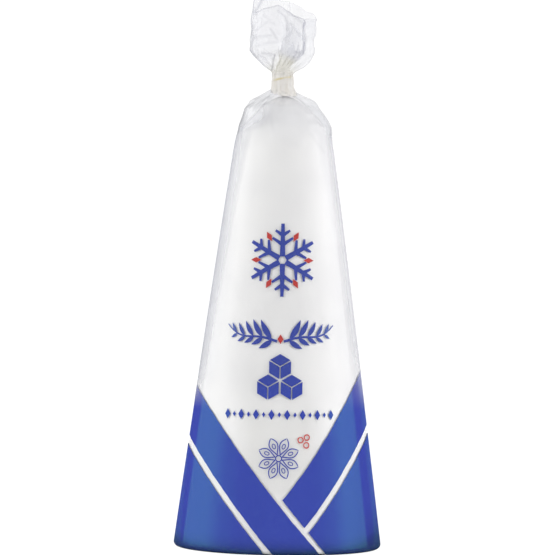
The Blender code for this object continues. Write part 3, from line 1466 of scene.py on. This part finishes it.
@dataclass
class FilmBag:
    """The clear film: tight on the cone, gathered into the neck, crumpled in the tuft.

    A net of fold points runs up from net_start, with four folds to each petal of the
    shoulder. A crumple cell is given by its rows, its columns and its share of the crumple.
    The pleats are how deep the fine pleats run at the neck, and how much deeper on the stalk,
    in millimetres; so are the folds' irregularities and the steps of the rim's roll.
    """

    form: ConeForm
    columns_a_fold: int = 16
    row_pitch: float = 0.32 * MM
    side_rows: int = 46
    net_start: float = 121.5 * MM
    neck_x: float = NECK_X
    neck_top: float = 149.5 * MM
    tuft_top: float = 169.8 * MM
    tuft_levels: tuple[float, ...] = (149.6, 150.6, 151.8, 153.2, 154.6, 155.6, 156.8, 158.6, 161.0,
                                      163.8, 166.8, 169.8)
    stalk: float = 2.9 * MM
    opening: float = 4.5 * MM
    flank_depth: float = 0.45
    least_reach: float = 0.2
    irregularities: Point = (0.4, 0.4, 0.35)
    crumple_cells: tuple[tuple[int, int, float], ...] = ((12, 32, 1.0), (6, 16, 0.62), (3, 8, 0.28))
    shoulder_crumple: float = 0.11 * MM
    tuft_crumple: float = 0.38 * MM
    pleats: FlatPoint = (0.055, 0.035)
    under_rows: int = 16
    corner_rows: int = 9
    streak_depth: float = 0.012 * MM
    rim_roll: tuple[FlatPoint, ...] = ((0.10, 0.16), (0.30, 0.22), (0.50, 0.10), (0.56, -0.14))
    seed: int = 7

    def stations(self) -> list[Station]:
        """The film's levels from the cone's upper side to the top of the neck.

        Returns:
            The levels, from the lowest up.
        """
        rows = (
            (121.5, 16.25, 16.25, 16.25, 16.25, 1.00, 0.000),
            (127.3, 15.40, 15.45, 15.45, 15.45, 1.00, 0.000),
            (132.3, 14.25, 15.20, 14.80, 14.80, 0.985, 0.006),
            (136.2, 12.85, 13.20, 13.10, 13.10, 0.95, 0.012),
            (138.3, 12.15, 11.70, 11.60, 11.90, 0.90, 0.02),
            (140.7, 9.90, 10.05, 6.90, 9.80, 0.80, 0.03),
            (142.1, 7.70, 7.30, 3.70, 7.90, 0.70, 0.04),
            (143.4, 5.20, 4.60, 2.90, 5.30, 0.62, 0.04),
            (144.8, 2.95, 2.95, 2.85, 3.00, 0.70, 0.03),
            (147.2, 2.80, 2.80, 2.75, 2.80, 0.70, 0.03),
        )
        return [Station(*(value * MM for value in row[:5]), *row[5:]) for row in rows]

    def petals(self) -> list[Petal]:
        """The shoulder's petals, in order of their bearings."""
        rows = ((2, 1.25), (60, 1.1), (120, 0.9), (180, 1.0), (241, 0.45), (302, 0.9))
        return [Petal(*row) for row in rows]

    def tuft_folds(self) -> list[TuftFold]:
        """The tuft's folds, four above each petal, from the fold between the front and the right.

        Returns:
            The folds, counter-clockwise as seen from above.
        """
        rows = (
            (5.1, -2.7, 151.2, 5.0, 1.6, 166.0, 1.18), (6.9, -1.4, 149.6, 7.0, 1.8, 166.2, 1.08),
            (8.8, 0.6, 149.3, 7.2, 2.0, 166.6, 1.16), (8.6, 3.0, 149.3, 7.0, 2.0, 167.6, 1.14),
            (7.7, 4.6, 149.6, 6.5, 1.8, 168.8, 1.08), (6.1, 6.2, 149.8, 6.5, 1.8, 169.8, 1.02),
            (4.6, 7.9, 149.8, 6.5, 1.8, 171.0, 1.00), (2.0, 8.2, 150.0, 6.5, 1.8, 172.0, 1.00),
            (0.4, 5.8, 150.4, 6.5, 1.6, 172.6, 0.98), (-1.8, 7.8, 150.0, 6.5, 1.8, 173.4, 1.00),
            (-4.4, 8.0, 149.8, 6.5, 1.8, 174.8, 1.00), (-6.4, 6.7, 149.6, 6.5, 1.8, 176.6, 1.00),
            (-8.1, 5.2, 149.8, 6.5, 1.6, 176.4, 1.02), (-9.9, 3.0, 149.4, 7.0, 1.3, 174.8, 1.00),
            (-11.1, 0.2, 149.3, 7.0, 1.2, 169.4, 0.96), (-10.8, -2.6, 149.6, 6.6, 1.3, 168.4, 0.93),
            (-9.8, -5.2, 151.6, 4.6, 1.6, 168.2, 0.91), (-8.2, -7.2, 153.4, 3.4, 1.8, 168.8, 0.88),
            (-5.4, -8.6, 154.2, 2.9, 2.0, 169.6, 0.86), (-2.4, -9.2, 154.6, 2.7, 2.0, 170.2, 0.84),
            (0.5, -7.4, 154.8, 2.7, 2.0, 168.8, 0.80), (3.2, -8.4, 154.8, 2.7, 2.0, 167.0, 0.86),
            (5.4, -6.6, 154.6, 2.7, 2.0, 165.6, 0.92), (6.2, -4.2, 153.8, 3.2, 2.0, 165.0, 0.98),
        )
        return [TuftFold(*row) for row in rows]

    def ring_plan(self, valley: float) -> tuple[Array, Array]:
        """Where one of the shoulder's rings lies: a valley, a flank, a tip and a flank to a petal.

        Args:
            valley: How near the middle a valley of full depth comes, as a share of the reach.

        Returns:
            The points' bearings in radians and their shares of the reach.
        """
        tips = np.array([petal.bearing for petal in self.petals()], dtype=float)
        depth = np.array([petal.depth for petal in self.petals()])
        start = (np.concatenate([[tips[-1] - 360], tips[:-1]]) + tips) / 2
        end = np.append(start[1:], start[0] + 360)
        side = np.full_like(depth, 1 - (1 - valley) * self.flank_depth)
        bearings = np.stack([start, (tips + start) / 2, tips, (tips + end) / 2])
        deepest = np.maximum(1 - (1 - valley) * depth, self.least_reach)
        shares = np.stack([deepest, side, np.ones_like(depth), side])
        return np.radians(bearings.T.ravel()), shares.T.ravel()

    def tuft_ring(self, level: float, low: Array, draw: np.random.Generator) -> Array:
        """The tuft's fold points at a level.

        Args:
            level: The level, as a height on a rim of the common height.
            low: The folds' bearings in the neck.
            draw: Source of the folds' small irregularities.

        Returns:
            One point for each fold.
        """
        x, y, start, rise, bow, rim, curl = np.array([astuple(fold) for fold in self.tuft_folds()]).T
        out = 1 - (1 - np.clip((level / MM - start) / rise, 0.0, 1.0)) ** bow
        climb = (level - self.neck_top) / (self.tuft_top - self.neck_top)
        drawn = 1 + (curl - 1) * climb ** 2
        full = np.stack([x * drawn, y * drawn], axis=-1) * MM
        aim = np.arctan2(y, x - self.neck_x / MM)
        opened = float(ease((level - self.neck_top) / self.opening))
        angle = low + np.angle(np.exp(1j * (aim - low))) * opened
        tight = self.stalk * (1 - 0.2 * (np.arange(len(x)) % 4 == 0))[:, None]
        stalk = np.stack([np.cos(angle), np.sin(angle)], axis=-1) * tight + np.array([self.neck_x, 0.0])
        stirred = draw.uniform(-1, 1, (len(x), 3)) * np.array(self.irregularities) * MM * climb ** 0.5
        flat = stalk + (full - stalk + stirred[:, :2]) * out[:, None]
        height = level + (rim * MM - self.tuft_top) * climb ** 1.3 + stirred[:, 2]
        return np.concatenate([flat, height[:, None]], axis=-1)

    def net(self) -> Array:
        """The fold net: one ring of fold points for each level, four points to a petal.

        Returns:
            The fold points, by level and fold.
        """
        draw = np.random.default_rng(self.seed)
        rings = []
        for station in self.stations():
            angle, share = self.ring_plan(station.valley)
            low, count = angle, len(angle)
            settle = float(eased(station.height, 128, 10))
            angle = angle + draw.uniform(-1, 1, count) * station.stir * 0.9 * settle
            reach_x = np.where(np.cos(angle) > 0, station.right, station.left)
            reach_y = np.where(np.sin(angle) > 0, station.back, station.front)
            reach = 1 / np.hypot(np.cos(angle) / reach_x, np.sin(angle) / reach_y)
            radius = reach * share * (1 + draw.uniform(-1, 1, count) * station.stir)
            draw.uniform(-1, 1, count)  # not used: it keeps the later draws, and so the folds, as they are
            lean = self.neck_x * float(eased(station.height, 131, 12))
            rings.append(around(lean, angle, radius, station.height))
        rings += [self.tuft_ring(level * MM, low, draw) for level in self.tuft_levels]
        return np.array(rings)

    def folded(self, net: Array, counts: Sequence[int], draw: np.random.Generator) -> Array:
        """Fill the fold net with flat facets, each cell split along one diagonal.

        Args:
            net: The fold points, by station and fold.
            counts: How many rows lie between each station and the next.
            draw: Source of the choice of diagonals.

        Returns:
            The film's points, by row and column.
        """
        folds, fine = net.shape[1], self.columns_a_fold
        s = (np.arange(fine) / fine)[None, None, :, None]
        rows = []
        for low, high, count in zip(net, net[1:], counts):
            t = (np.arange(count) / count)[:, None, None, None]
            a, b = low[None, :, None], np.roll(low, -1, axis=0)[None, :, None]
            d, c = high[None, :, None], np.roll(high, -1, axis=0)[None, :, None]
            rising = self.facet(a, b, c, d, s, t)
            falling = np.where(s > t, a + s * (b - a) + t * (c - b), a + t * (d - a) + s * (c - d))
            pick = draw.random(folds)[None, :, None, None] < 0.5
            rows.append(np.where(pick, rising, falling).reshape(count, folds * fine, 3))
        step = np.roll(net[-1], -1, axis=0) - net[-1]
        rows.append((net[-1][:, None] + s[0] * step[:, None]).reshape(1, folds * fine, 3))
        return np.concatenate(rows)

    def rounded(self, net: Array, counts: Sequence[int]) -> Array:
        """Fill the fold net with smooth curves through its points, both ways.

        Args:
            net: The fold points, by level and fold.
            counts: How many rows lie between each level and the next.

        Returns:
            The film's points, by row and column.
        """
        steps = np.arange(self.columns_a_fold) / self.columns_a_fold
        corners = [np.roll(net, shift, axis=1) for shift in (1, 0, -1, -2)]
        rings = np.stack([self.curve(*corners, step) for step in steps], axis=2).reshape(len(net), -1, 3)
        padded = np.concatenate([2 * rings[:1] - rings[1:2], rings, 2 * rings[-1:] - rings[-2:-1]])
        rows = []
        for place, count in enumerate(counts):
            rows += [self.curve(*padded[place:place + 4], step) for step in np.arange(count) / count]
        return np.stack(rows + [rings[-1]])

    @staticmethod
    def facet(a: Array, b: Array, c: Array, d: Array, s: Array, t: Array) -> Array:
        """Places on a cell with the corners a, b, c and d that is creased from b to d."""
        return np.where(s + t < 1, a + s * (b - a) + t * (d - a), c + (1 - s) * (d - c) + (1 - t) * (b - c))

    @staticmethod
    def curve(a: Array, b: Array, c: Array, d: Array, step: float) -> Array:
        """A point of the smooth curve from b to c, whose neighbours are a and d."""
        return 0.5 * (2 * b + (c - a) * step + (2 * a - 5 * b + 4 * c - d) * step ** 2
                      + (3 * b - a - 3 * c + d) * step ** 3)

    def crumple(self, points: Array, draw: np.random.Generator) -> Array:
        """Add the second, finer set of creases across the film's facets.

        Args:
            points: The film's points, by row and column.
            draw: Source of the creases' heights.

        Returns:
            The crumpled points.
        """
        rows, columns = points.shape[:2]
        across = np.roll(points, -1, axis=1) - np.roll(points, 1, axis=1)
        along = np.gradient(points, axis=0)
        normal = unit(np.cross(across, along))
        offset = np.zeros((rows, columns))
        for tall, wide, size in self.crumple_cells:
            high = draw.uniform(-1, 1, (rows // tall + 2, columns // wide))
            v, u = np.meshgrid(np.arange(rows) / tall, np.arange(columns) / wide, indexing="ij")
            j, k = v.astype(int), u.astype(int)
            t, s = v - j, u - k
            k_after = (k + 1) % high.shape[1]
            a, b, d, c = high[j, k], high[j, k_after], high[j + 1, k], high[j + 1, k_after]
            offset += size * self.facet(a, b, c, d, s, t)
        height = points[..., 2]
        facing = 0.30 + 0.70 * np.abs(normal[..., 1])
        amount = (self.shoulder_crumple * eased(height, 128, 8)
                  + self.tuft_crumple * eased(height, 153, 5) * facing)
        return points + normal * (offset * amount)[..., None]

    @staticmethod
    def soften(points: Array) -> Array:
        """Round the creases by averaging each point with its neighbours.

        Args:
            points: The film's points, by row and column.

        Returns:
            The softened points.
        """
        points = (np.roll(points, 1, axis=1) + 2 * points + np.roll(points, -1, axis=1)) / 4
        middle = (points[:-2] + 2 * points[1:-1] + points[2:]) / 4
        return np.concatenate([points[:1], middle, points[-1:]])

    def gathers(self, points: Array) -> Array:
        """Add the fine pleats that run out of the neck both ways.

        Args:
            points: The film's points, by row and column.

        Returns:
            The pleated points.
        """
        turn = even_turns(points.shape[1])
        height = points[..., 2]
        near = np.exp(-(np.maximum(140.5 * MM - height, 0) / (4 * MM)) ** 2
                      - (np.maximum(height - 151.5 * MM, 0) / (2.2 * MM)) ** 2)
        near = near * eased(height, 134, 4)
        wave = (np.sin(turn * 38 + 0.7) + 0.7 * np.sin(turn * 29 + 2.0 + height * 120)
                + 0.5 * np.sin(turn * 53 + 4.1 - height * 90))
        axis = np.stack([np.full_like(height, self.neck_x), np.zeros_like(height), height], axis=-1)
        on_stalk = np.exp(-((height - 151.5 * MM) / (3 * MM)) ** 2)
        depth = (self.pleats[0] + self.pleats[1] * on_stalk) * MM * wave * near
        return points + unit(points - axis) * depth[..., None]

    def creases(self) -> list[Crease]:
        """The long creases over the tuft and the front of the shoulder.

        Returns:
            The creases.
        """
        left_edge = ((-11.3, 156.6), (-8.4, 153.3), (-4.9, 150.0))
        return [Crease(((-2.3, 168.3), (-0.2, 166.6), (0.5, 164.7), (0.4, 162.5)), 0.42),
                Crease(((-1.9, 169.2), (1.8, 167.5), (5.4, 164.8)), 0.32),
                Crease(((5.5, 164.9), (5.8, 162.4), (6.4, 159.9), (5.8, 157.6), (5.7, 155.7), (4.5, 155.3),
                        (3.1, 155.6)), 0.42, 0.20),
                Crease(((1.5, 164.4), (4.8, 160.7)), 0.34),
                Crease(((-4.7, 162.5), (-2.6, 159.3)), 0.34),
                Crease(((-9.1, 160.2), (-4.7, 160.4)), 0.28),
                Crease(((-8.4, 157.6), (-2.3, 158.5)), 0.28),
                Crease(((-0.3, 159.3), (1.8, 161.5), (2.1, 163.7)), 0.30),
                Crease(((-9.1, 162.3), (-5.0, 165.5)), 0.22),
                Crease(((-6.9, 166.9), (-3.6, 164.0)), 0.20),
                Crease(((-7.2, 155.2), (-4.6, 154.5), (-3.7, 153.5)), 0.34, 0.15),
                Crease(((-3.3, 154.6), (-3.7, 153.0), (-3.9, 151.2), (-4.3, 149.6)), 0.85, 0.0, 0.50),
                Crease(left_edge, 0.30, 0.0, 0.55),
                Crease(left_edge, 0.34, 0.0, 0.55, at_back=True),
                Crease(((-7.3, 173.5), (-8.8, 170.4), (-10.2, 168.2)), 0.50, 0.20, 0.62, at_back=True),
                Crease(((-5.9, 139.4), (-13.4, 130.9)), 0.30, 0.25, 0.60),
                Crease(((3.4, 141.6), (7.3, 141.0), (14.0, 132.6)), 0.07, 0.15),
                Crease(((8.2, 130.0), (12.6, 124.2)), 0.09, 0.15)]

    @staticmethod
    def reached(crease: Crease, points: Array) -> Array:
        """How far each point belongs to the side of the film that a crease is on."""
        side = 1 if crease.at_back else -1
        return eased(side * points[..., 1], -0.6, 1.5)

    def pinched(self, points: Array) -> Array:
        """Add the long creases, which stand out from the film.

        Args:
            points: The film's points, by row and column.

        Returns:
            The pinched points.
        """
        for crease in self.creases():
            out = crease.height * MM * crease.share(points) * self.reached(crease, points)
            points = points + np.array([0.0, 1.0 if crease.at_back else -1.0, 0.0]) * out[..., None]
        return points

    def upper(self) -> Array:
        """The film from the cone's upper side to the tuft's rim.

        Returns:
            The film's points, by row and column.
        """
        draw = np.random.default_rng(self.seed + 1)
        net = self.net()
        counts = [max(2, round(float(np.mean(np.linalg.norm(high - low, axis=1))) / self.row_pitch))
                  for low, high in zip(net, net[1:])]
        flat, smooth = self.folded(net, counts, draw), self.rounded(net, counts)
        roundness = 0.25 + 0.45 * eased(flat[..., 2], 148, 5)
        points = flat + (smooth - flat) * roundness[..., None]
        points = self.soften(points)
        points = self.soften(self.pinched(self.gathers(self.crumple(points, draw))))
        columns = points.shape[1]
        height = points[..., 2]
        turn = np.unwrap(np.arctan2(points[..., 1], points[..., 0]), axis=1)
        tight = 1 - eased(height, 123, 9)
        even = even_turns(columns) + turn[0].mean() - math.pi * (columns - 1) / columns
        on_cone = around(0.0, turn + (even - turn) * tight, self.form.radius(height), height)
        return points + (on_cone - points) * tight[..., None]

    def curled_rim(self, rim: Array) -> Array:
        """Rows that roll the film's cut edge a little way inwards.

        Args:
            rim: The film's last row of points.

        Returns:
            The rolled points, by row and column.
        """
        inward = np.array([self.neck_x, 0.0, 0.0]) - rim
        inward[:, 2] = 0.0
        plain = np.maximum(eased(rim[:, 1:2], -2, 5), eased(rim[:, :1], 5, 3))
        inward = unit(inward) * (1 - 0.9 * plain)
        up = np.array([0.0, 0.0, 1.0]) * (1 - 0.7 * plain)
        return np.stack([rim + (inward * across + up * over) * MM for across, over in self.rim_roll])

    def lower(self, first: Array) -> Array:
        """The film under and around the cone, up to where the fold net starts.

        Args:
            first: The fold net's lowest ring, whose bearings this film takes up.

        Returns:
            The film's points, by row and column.
        """
        columns = len(first)
        turn = np.unwrap(np.arctan2(first[:, 1], first[:, 0])) + math.pi / 2
        under = np.linspace(-self.form.foot_radius * 0.97, -0.4 * MM, self.under_rows)
        corner = np.linspace(-0.2 * MM, self.form.foot_rounding, self.corner_rows)
        side = np.linspace(self.form.foot_rounding, self.net_start, self.side_rows)[1:-1]
        level = np.concatenate([under, corner, side])[:, None]
        streaks = (np.sin(turn * 5 + 0.4) + 0.6 * np.sin(turn * 9 + 1.9 + level * 20)
                   + 0.4 * np.sin(turn * 16 + 4.0 - level * 35))
        fade = eased(level, 0, 12) * (1 - eased(level, 108, 13))
        shape = np.broadcast_to(level, (len(level), columns))
        points = self.form.place(np.broadcast_to(turn, shape.shape), shape, 0.0)
        outward = unit(points * np.array([1.0, 1.0, 0.0]))
        return points + outward * (self.streak_depth * (2 + streaks) * fade)[..., None]

    def marks(self, points: Array) -> Array:
        """How much each point is marked with painted fold shade: the cut edge and the far side less.

        Args:
            points: The bag's points, by row and column.

        Returns:
            One mark for each point.
        """
        marks = 0.26 * fold_marks(points)
        for height, less in ((143.0, 0.75), (154.0, 0.45)):
            marks *= 1 - less * np.exp(-((points[..., 2] - height * MM) / (4 * MM)) ** 2)
        to_back = eased(points[..., 1], -2, 5)
        marks[-5:] *= 0.38 - 0.34 * to_back[-5:]
        to_right = eased(points[..., 0], 5, 3) * eased(points[..., 2], 150, 2)
        marks *= 1 - 0.55 * np.maximum(to_right, to_back * eased(points[..., 2], 150, 3))
        # The long creases are drawn in as painted shade
        drawn = np.max([crease.shade * crease.share(points) * self.reached(crease, points)
                        for crease in self.creases()], axis=0)
        return np.maximum(marks, drawn)

    def build(self, finish: ClearFilm) -> Piece:
        """Build the bag and let it stand for its solid in the frame.

        Args:
            finish: What the film looks like.

        Returns:
            The finished piece.
        """
        upper = self.upper()
        columns = upper.shape[1]
        points = np.concatenate([self.lower(upper[0]), upper, self.curled_rim(upper[-1])])
        faces = np.concatenate([grid_faces(len(points), columns, closed=True),
                                fan_faces(columns, 0, len(points) * columns, downwards=True)])
        flat = np.concatenate([points.reshape(-1, 3), [[0.0, 0.0, 0.0]]])
        piece = build_piece("film_bag", flat, faces, finish.material())
        mark_vertices(piece, self.marks(points))
        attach(piece, ROOT)
        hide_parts("bag")
        return piece


@dataclass
class InnerTuck:
    """The film's inner layers, bunched together in the tuft above the gathered stalk."""

    centre_x: float = NECK_X
    foot: float = 149.0 * MM
    height: float = 8.2 * MM
    lean: FlatPoint = mm(2.4, -0.6)
    folds: int = 8
    columns: int = 176
    rows: int = 40
    wave_shares: tuple[float, ...] = (0.30, 0.20, 0.22, 0.18, 0.10)
    stalk: float = 2.0 * MM
    spread: float = 1.6 * MM
    raggedness: float = 1.1 * MM
    seed: int = 11

    def build(self, finish: ClearFilm) -> Piece:
        """Build the bunch of film and set it in the frame.

        Args:
            finish: What the film looks like.

        Returns:
            The finished piece.
        """
        draw = np.random.default_rng(self.seed)
        turn = even_turns(self.columns)[None, :]
        share = np.linspace(0.0, 1.0, self.rows)[:, None]
        size, phase, ragged = draw.uniform(0.5, 1.0, 5), draw.uniform(0, 2 * math.pi, 5), 0.0
        pleat = np.zeros((self.rows, self.columns))
        for place, waves in enumerate((self.folds, self.folds + 3, 5, 3, 21)):
            wave = np.arcsin(np.sin(turn * waves + phase[place] + share * (1.5 - place))) * 2 / math.pi
            pleat = pleat + wave * size[place] * self.wave_shares[place]
            ragged = ragged + np.sin(turn * (2 + 3 * place) + phase[place] * 2) * size[place]
        reach = self.stalk + self.spread * ease((share - 0.35) / 0.55)
        radius = reach * (1 + 0.50 * pleat * ease(share / 0.5))
        moved = ease((share - 0.25) / 0.55)
        rise = self.foot + share * (self.height + self.raggedness * ragged)
        points = np.stack([self.centre_x + self.lean[0] * moved + radius * np.cos(turn),
                           self.lean[1] * moved + radius * np.sin(turn), rise], axis=-1)
        faces = grid_faces(self.rows, self.columns, closed=True)
        piece = build_piece("film_tuck", points.reshape(-1, 3), faces, finish.material())
        # Faint painted shade along the tuck's folds
        mark_vertices(piece, 0.08 * fold_marks(points))
        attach(piece, ROOT)
        return piece


# The tape


@dataclass
class NeckTape:
    """Tape wound twice around the gathered neck, its last turn ending in a slanted lap."""

    centre_x: float = NECK_X
    foot: float = TAPE_LOW.z
    top: float = TAPE_HIGH.z
    radius: float = 3.25 * MM
    thickness: float = 0.12 * MM
    lap_middle: float = 147.5 * MM
    lap_rise: float = 0.65 * MM
    lap_step: float = 0.16 * MM
    lap_edge: float = 0.15 * MM
    foot_to_back: float = 1.0 * MM
    foot_to_left: float = 0.5 * MM
    foot_flare: float = 1.25 * MM
    puckers: FlatPoint = mm(0.10, 0.06)
    columns: int = 120
    rows: int = 46

    def lap_height(self, turn: Array) -> Array:
        """Height at which the last turn of tape ends, rising to the right."""
        return self.lap_middle + self.lap_rise * np.cos(turn)

    def build(self, finish: WoundTape) -> Piece:
        """Build the tape and let it stand for its solid in the frame.

        Args:
            finish: What the tape looks like.

        Returns:
            The finished piece.
        """
        turn = even_turns(self.columns)
        share = np.linspace(0.0, 1.0, self.rows)[:, None]
        foot = self.foot + self.foot_to_back * (1 + np.sin(turn)) * 0.9 - self.foot_to_left * np.cos(turn)
        height = foot + (self.top - foot) * share
        pucker = (self.puckers[0] * np.sin(turn * 10 + share * 1.5)
                  + self.puckers[1] * np.sin(turn * 17 + 2 - share * 3))
        flare = self.foot_flare * (1 - ease(share * 2.4)) * (0.35 + 0.65 * np.maximum(np.cos(turn), -0.3))
        lap = self.lap_step * (1 - ease((height - self.lap_height(turn)) / self.lap_edge))
        radius = self.radius + pucker + flare + lap
        outer = around(self.centre_x, turn, radius, height)
        inward = np.stack([np.cos(turn), np.sin(turn), np.zeros_like(turn)], axis=-1) * self.thickness
        points = np.concatenate([outer, (outer - inward)[::-1], outer[:1]])
        ring = len(points) - 1
        faces = grid_faces(len(points), self.columns, closed=True)
        faces = np.where(faces >= ring * self.columns, faces - ring * self.columns, faces)
        piece = build_piece("tape_winding", points[:-1].reshape(-1, 3), faces, finish.material())
        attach(piece, ROOT)
        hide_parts("neck_tape")
        return piece


# The studio


class Shines(Enum):
    """Which surfaces a light reaches."""

    ON_MATT = "matt"
    ON_GLOSSY = "glossy"


@dataclass(frozen=True)
class Softbox:
    """A rectangular light, placed by its bearing and elevation from the loaf's middle.

    A bearing counts from the camera's side, positive to the right. The profile gives the
    light's strength across its width, from its front edge to its back edge.
    """

    name: str
    bearing: float
    elevation: float
    distance: float
    size: tuple[float, float]
    power: float
    shines: Shines
    profile: tuple[FlatPoint, ...] = ()
    colour: Colour = (1.0, 1.0, 1.0)


SOFTBOXES = (
    Softbox("key", 0, 30, 1.6, (1.6, 1.2), 0.8, Shines.ON_MATT),
    Softbox("left_fill", -66, 8, 1.6, (0.7, 1.4), 16.0, Shines.ON_MATT),
    Softbox("right_fill", 69, 8, 1.6, (0.7, 1.4), 17.7, Shines.ON_MATT, colour=(0.99, 0.98, 1.0)),
    Softbox("back_fill", 180, 20, 1.6, (1.8, 1.4), 7.0, Shines.ON_MATT),
    Softbox("left_box", -89.3, 5, 1.0, (1.70, 1.6), 11.3, Shines.ON_GLOSSY,
            ((0.0, 0.0), (0.265, 0.15), (0.49, 1.0), (1.0, 1.0))),
    Softbox("right_box", 79.5, 5, 1.0, (1.64, 1.6), 10.6, Shines.ON_GLOSSY,
            ((0.0, 0.0), (0.36, 0.15), (0.58, 1.0), (1.0, 0.85))),
    Softbox("right_back_box", 158, 5, 1.0, (0.60, 1.6), 1.5, Shines.ON_GLOSSY),
)


@dataclass
class Studio:
    """A pale floor, soft light and the camera."""

    distance: float = 0.950
    eye_height: float = 84.9 * MM
    eye_x: float = -1.25 * MM
    field: float = 175.1 * MM
    sensor: float = 36.0
    roll: float = math.radians(0.95)

    def add_camera(self) -> None:
        """Set the camera level in front of the loaf."""
        data = bpy.data.cameras.new("camera")
        data.sensor_width = self.sensor
        data.lens = self.sensor * self.distance / self.field
        data.clip_start = 0.05
        camera = bpy.data.objects.new("camera", data)
        camera.matrix_world = (Matrix.Translation((self.eye_x, -self.distance, self.eye_height))
                               @ Matrix.Rotation(math.pi / 2, 4, "X") @ Matrix.Rotation(self.roll, 4, "Z"))
        bpy.context.scene.collection.objects.link(camera)
        bpy.context.scene.camera = camera

    def add_softbox(self, box: Softbox) -> None:
        """Hang a rectangular light that faces the loaf.

        Args:
            box: The light's place, size and strength.
        """
        data = bpy.data.lights.new(box.name, "AREA")
        data.shape = "RECTANGLE"
        data.size, data.size_y = box.size
        data.energy = box.power
        data.color = box.colour
        if box.profile:
            self.grade_light(data, box)
        light = bpy.data.objects.new(box.name, data)
        turn, rise = math.radians(box.bearing), math.radians(box.elevation)
        aim = Vector((0.0, 0.0, self.eye_height))
        out = Vector((math.sin(turn) * math.cos(rise), -math.cos(turn) * math.cos(rise), math.sin(rise)))
        light.location = aim + out * box.distance
        light.rotation_euler = out.to_track_quat("Z", "Y").to_euler()
        light.visible_glossy = box.shines is Shines.ON_GLOSSY
        light.visible_diffuse = box.shines is Shines.ON_MATT
        bpy.context.scene.collection.objects.link(light)

    @staticmethod
    def grade_light(data: Light, box: Softbox) -> None:
        """Let a light's strength follow its profile across its width.

        Args:
            data: The light's data.
            box: What the light is like.
        """
        nodes = Nodes(data, "Light")
        across, _, _ = nodes.lengths(nodes.add("NewGeometry").outputs["Parametric"])
        stops = [(spot if box.bearing > 0 else 1 - spot, strength) for spot, strength in box.profile]
        nodes.finish(nodes.add("Emission", {"Strength": nodes.profile(across, sorted(stops))}))

    def add_surroundings(self, seen: float, matt: float, front: float, back: float) -> None:
        """Make the world white to the eye, and softer as light and in reflections.

        Args:
            seen: Brightness of the background that the camera sees.
            matt: Brightness of the light that falls on matt surfaces.
            front: Brightness that glossy surfaces mirror from the camera's side.
            back: Brightness that glossy surfaces mirror from behind the loaf.
        """
        nodes = Nodes(bpy.data.worlds.new("white_room"), "World")
        eye = nodes.add("Background", {"Color": (1.0, 1.0, 1.0, 1.0), "Strength": seen})
        soft = nodes.add("Background", {"Color": (0.995, 0.995, 1.0, 1.0), "Strength": matt})
        _, deep, _ = nodes.lengths(nodes.add("TexCoord").outputs["Generated"])
        mirrored = nodes.add("Background", {"Strength": nodes.spread(deep, front, back, -0.6, 0.6)})
        rays = nodes.add("LightPath").outputs
        room = nodes.mixed(rays["Is Glossy Ray"], soft, mirrored)
        bpy.context.scene.world = nodes.finish(nodes.mixed(rays["Is Camera Ray"], room, eye))

    def add_floor(self, finish: PaleFloor) -> None:
        """Lay the floor under the loaf.

        Args:
            finish: What the floor looks like.
        """
        half = 3.0
        below = -0.05 * MM
        corners = np.array([[-half, -half, below], [half, -half, below], [half, half, below],
                            [-half, half, below]])
        build_piece("floor", corners, np.array([[0, 1, 2, 3]]), finish.material())

    def build(self, floor: PaleFloor) -> None:
        """Set up the whole studio.

        Args:
            floor: What the floor looks like.
        """
        bpy.context.scene.view_settings.view_transform = "Standard"
        bpy.context.scene.cycles.transparent_max_bounces = 32
        self.add_camera()
        self.add_surroundings(seen=1.05, matt=0.71, front=0.50, back=0.34)
        self.add_floor(floor)
        for box in SOFTBOXES:
            self.add_softbox(box)


def main() -> None:
    """Build every piece, the studio and the size note."""
    logging.basicConfig(level=logging.INFO, format="%(name)s: %(message)s")
    form = ConeForm()
    pieces = [SugarLoaf(form).build(PressedSugar())]
    inks = {Ink.BLUE: PrintInk("blue_ink", colour=(0.040, 0.048, 0.375), thin=(0.044, 0.055, 0.39),
                               sheen=(0.18, 1.0, 0.50)),
            Ink.RED: PrintInk("red_ink", colour=(0.56, 0.040, 0.030), thin=(0.60, 0.05, 0.04),
                              sheen=(1.0, 0.6, 0.6))}
    pieces += PackPrint(FootBands(form), FrontMotifs(form)).build(inks)
    film = ClearFilm()
    pieces.append(FilmBag(form).build(film))
    bunched = replace(film, name="bunched_film", tuft_haze=0.10, core_haze=0.10, crease_haze=0.05,
                      slant_haze_and_shade=(0.25, 0.25))
    pieces.append(InnerTuck().build(bunched))
    pieces.append(NeckTape().build(WoundTape()))
    for piece in pieces:
        log.info("%s: %d faces, %.1f mm tall", piece.name, len(piece.data.polygons), piece.dimensions.z / MM)
    Studio().build(PaleFloor())


if __name__ == "__main__":
    main()
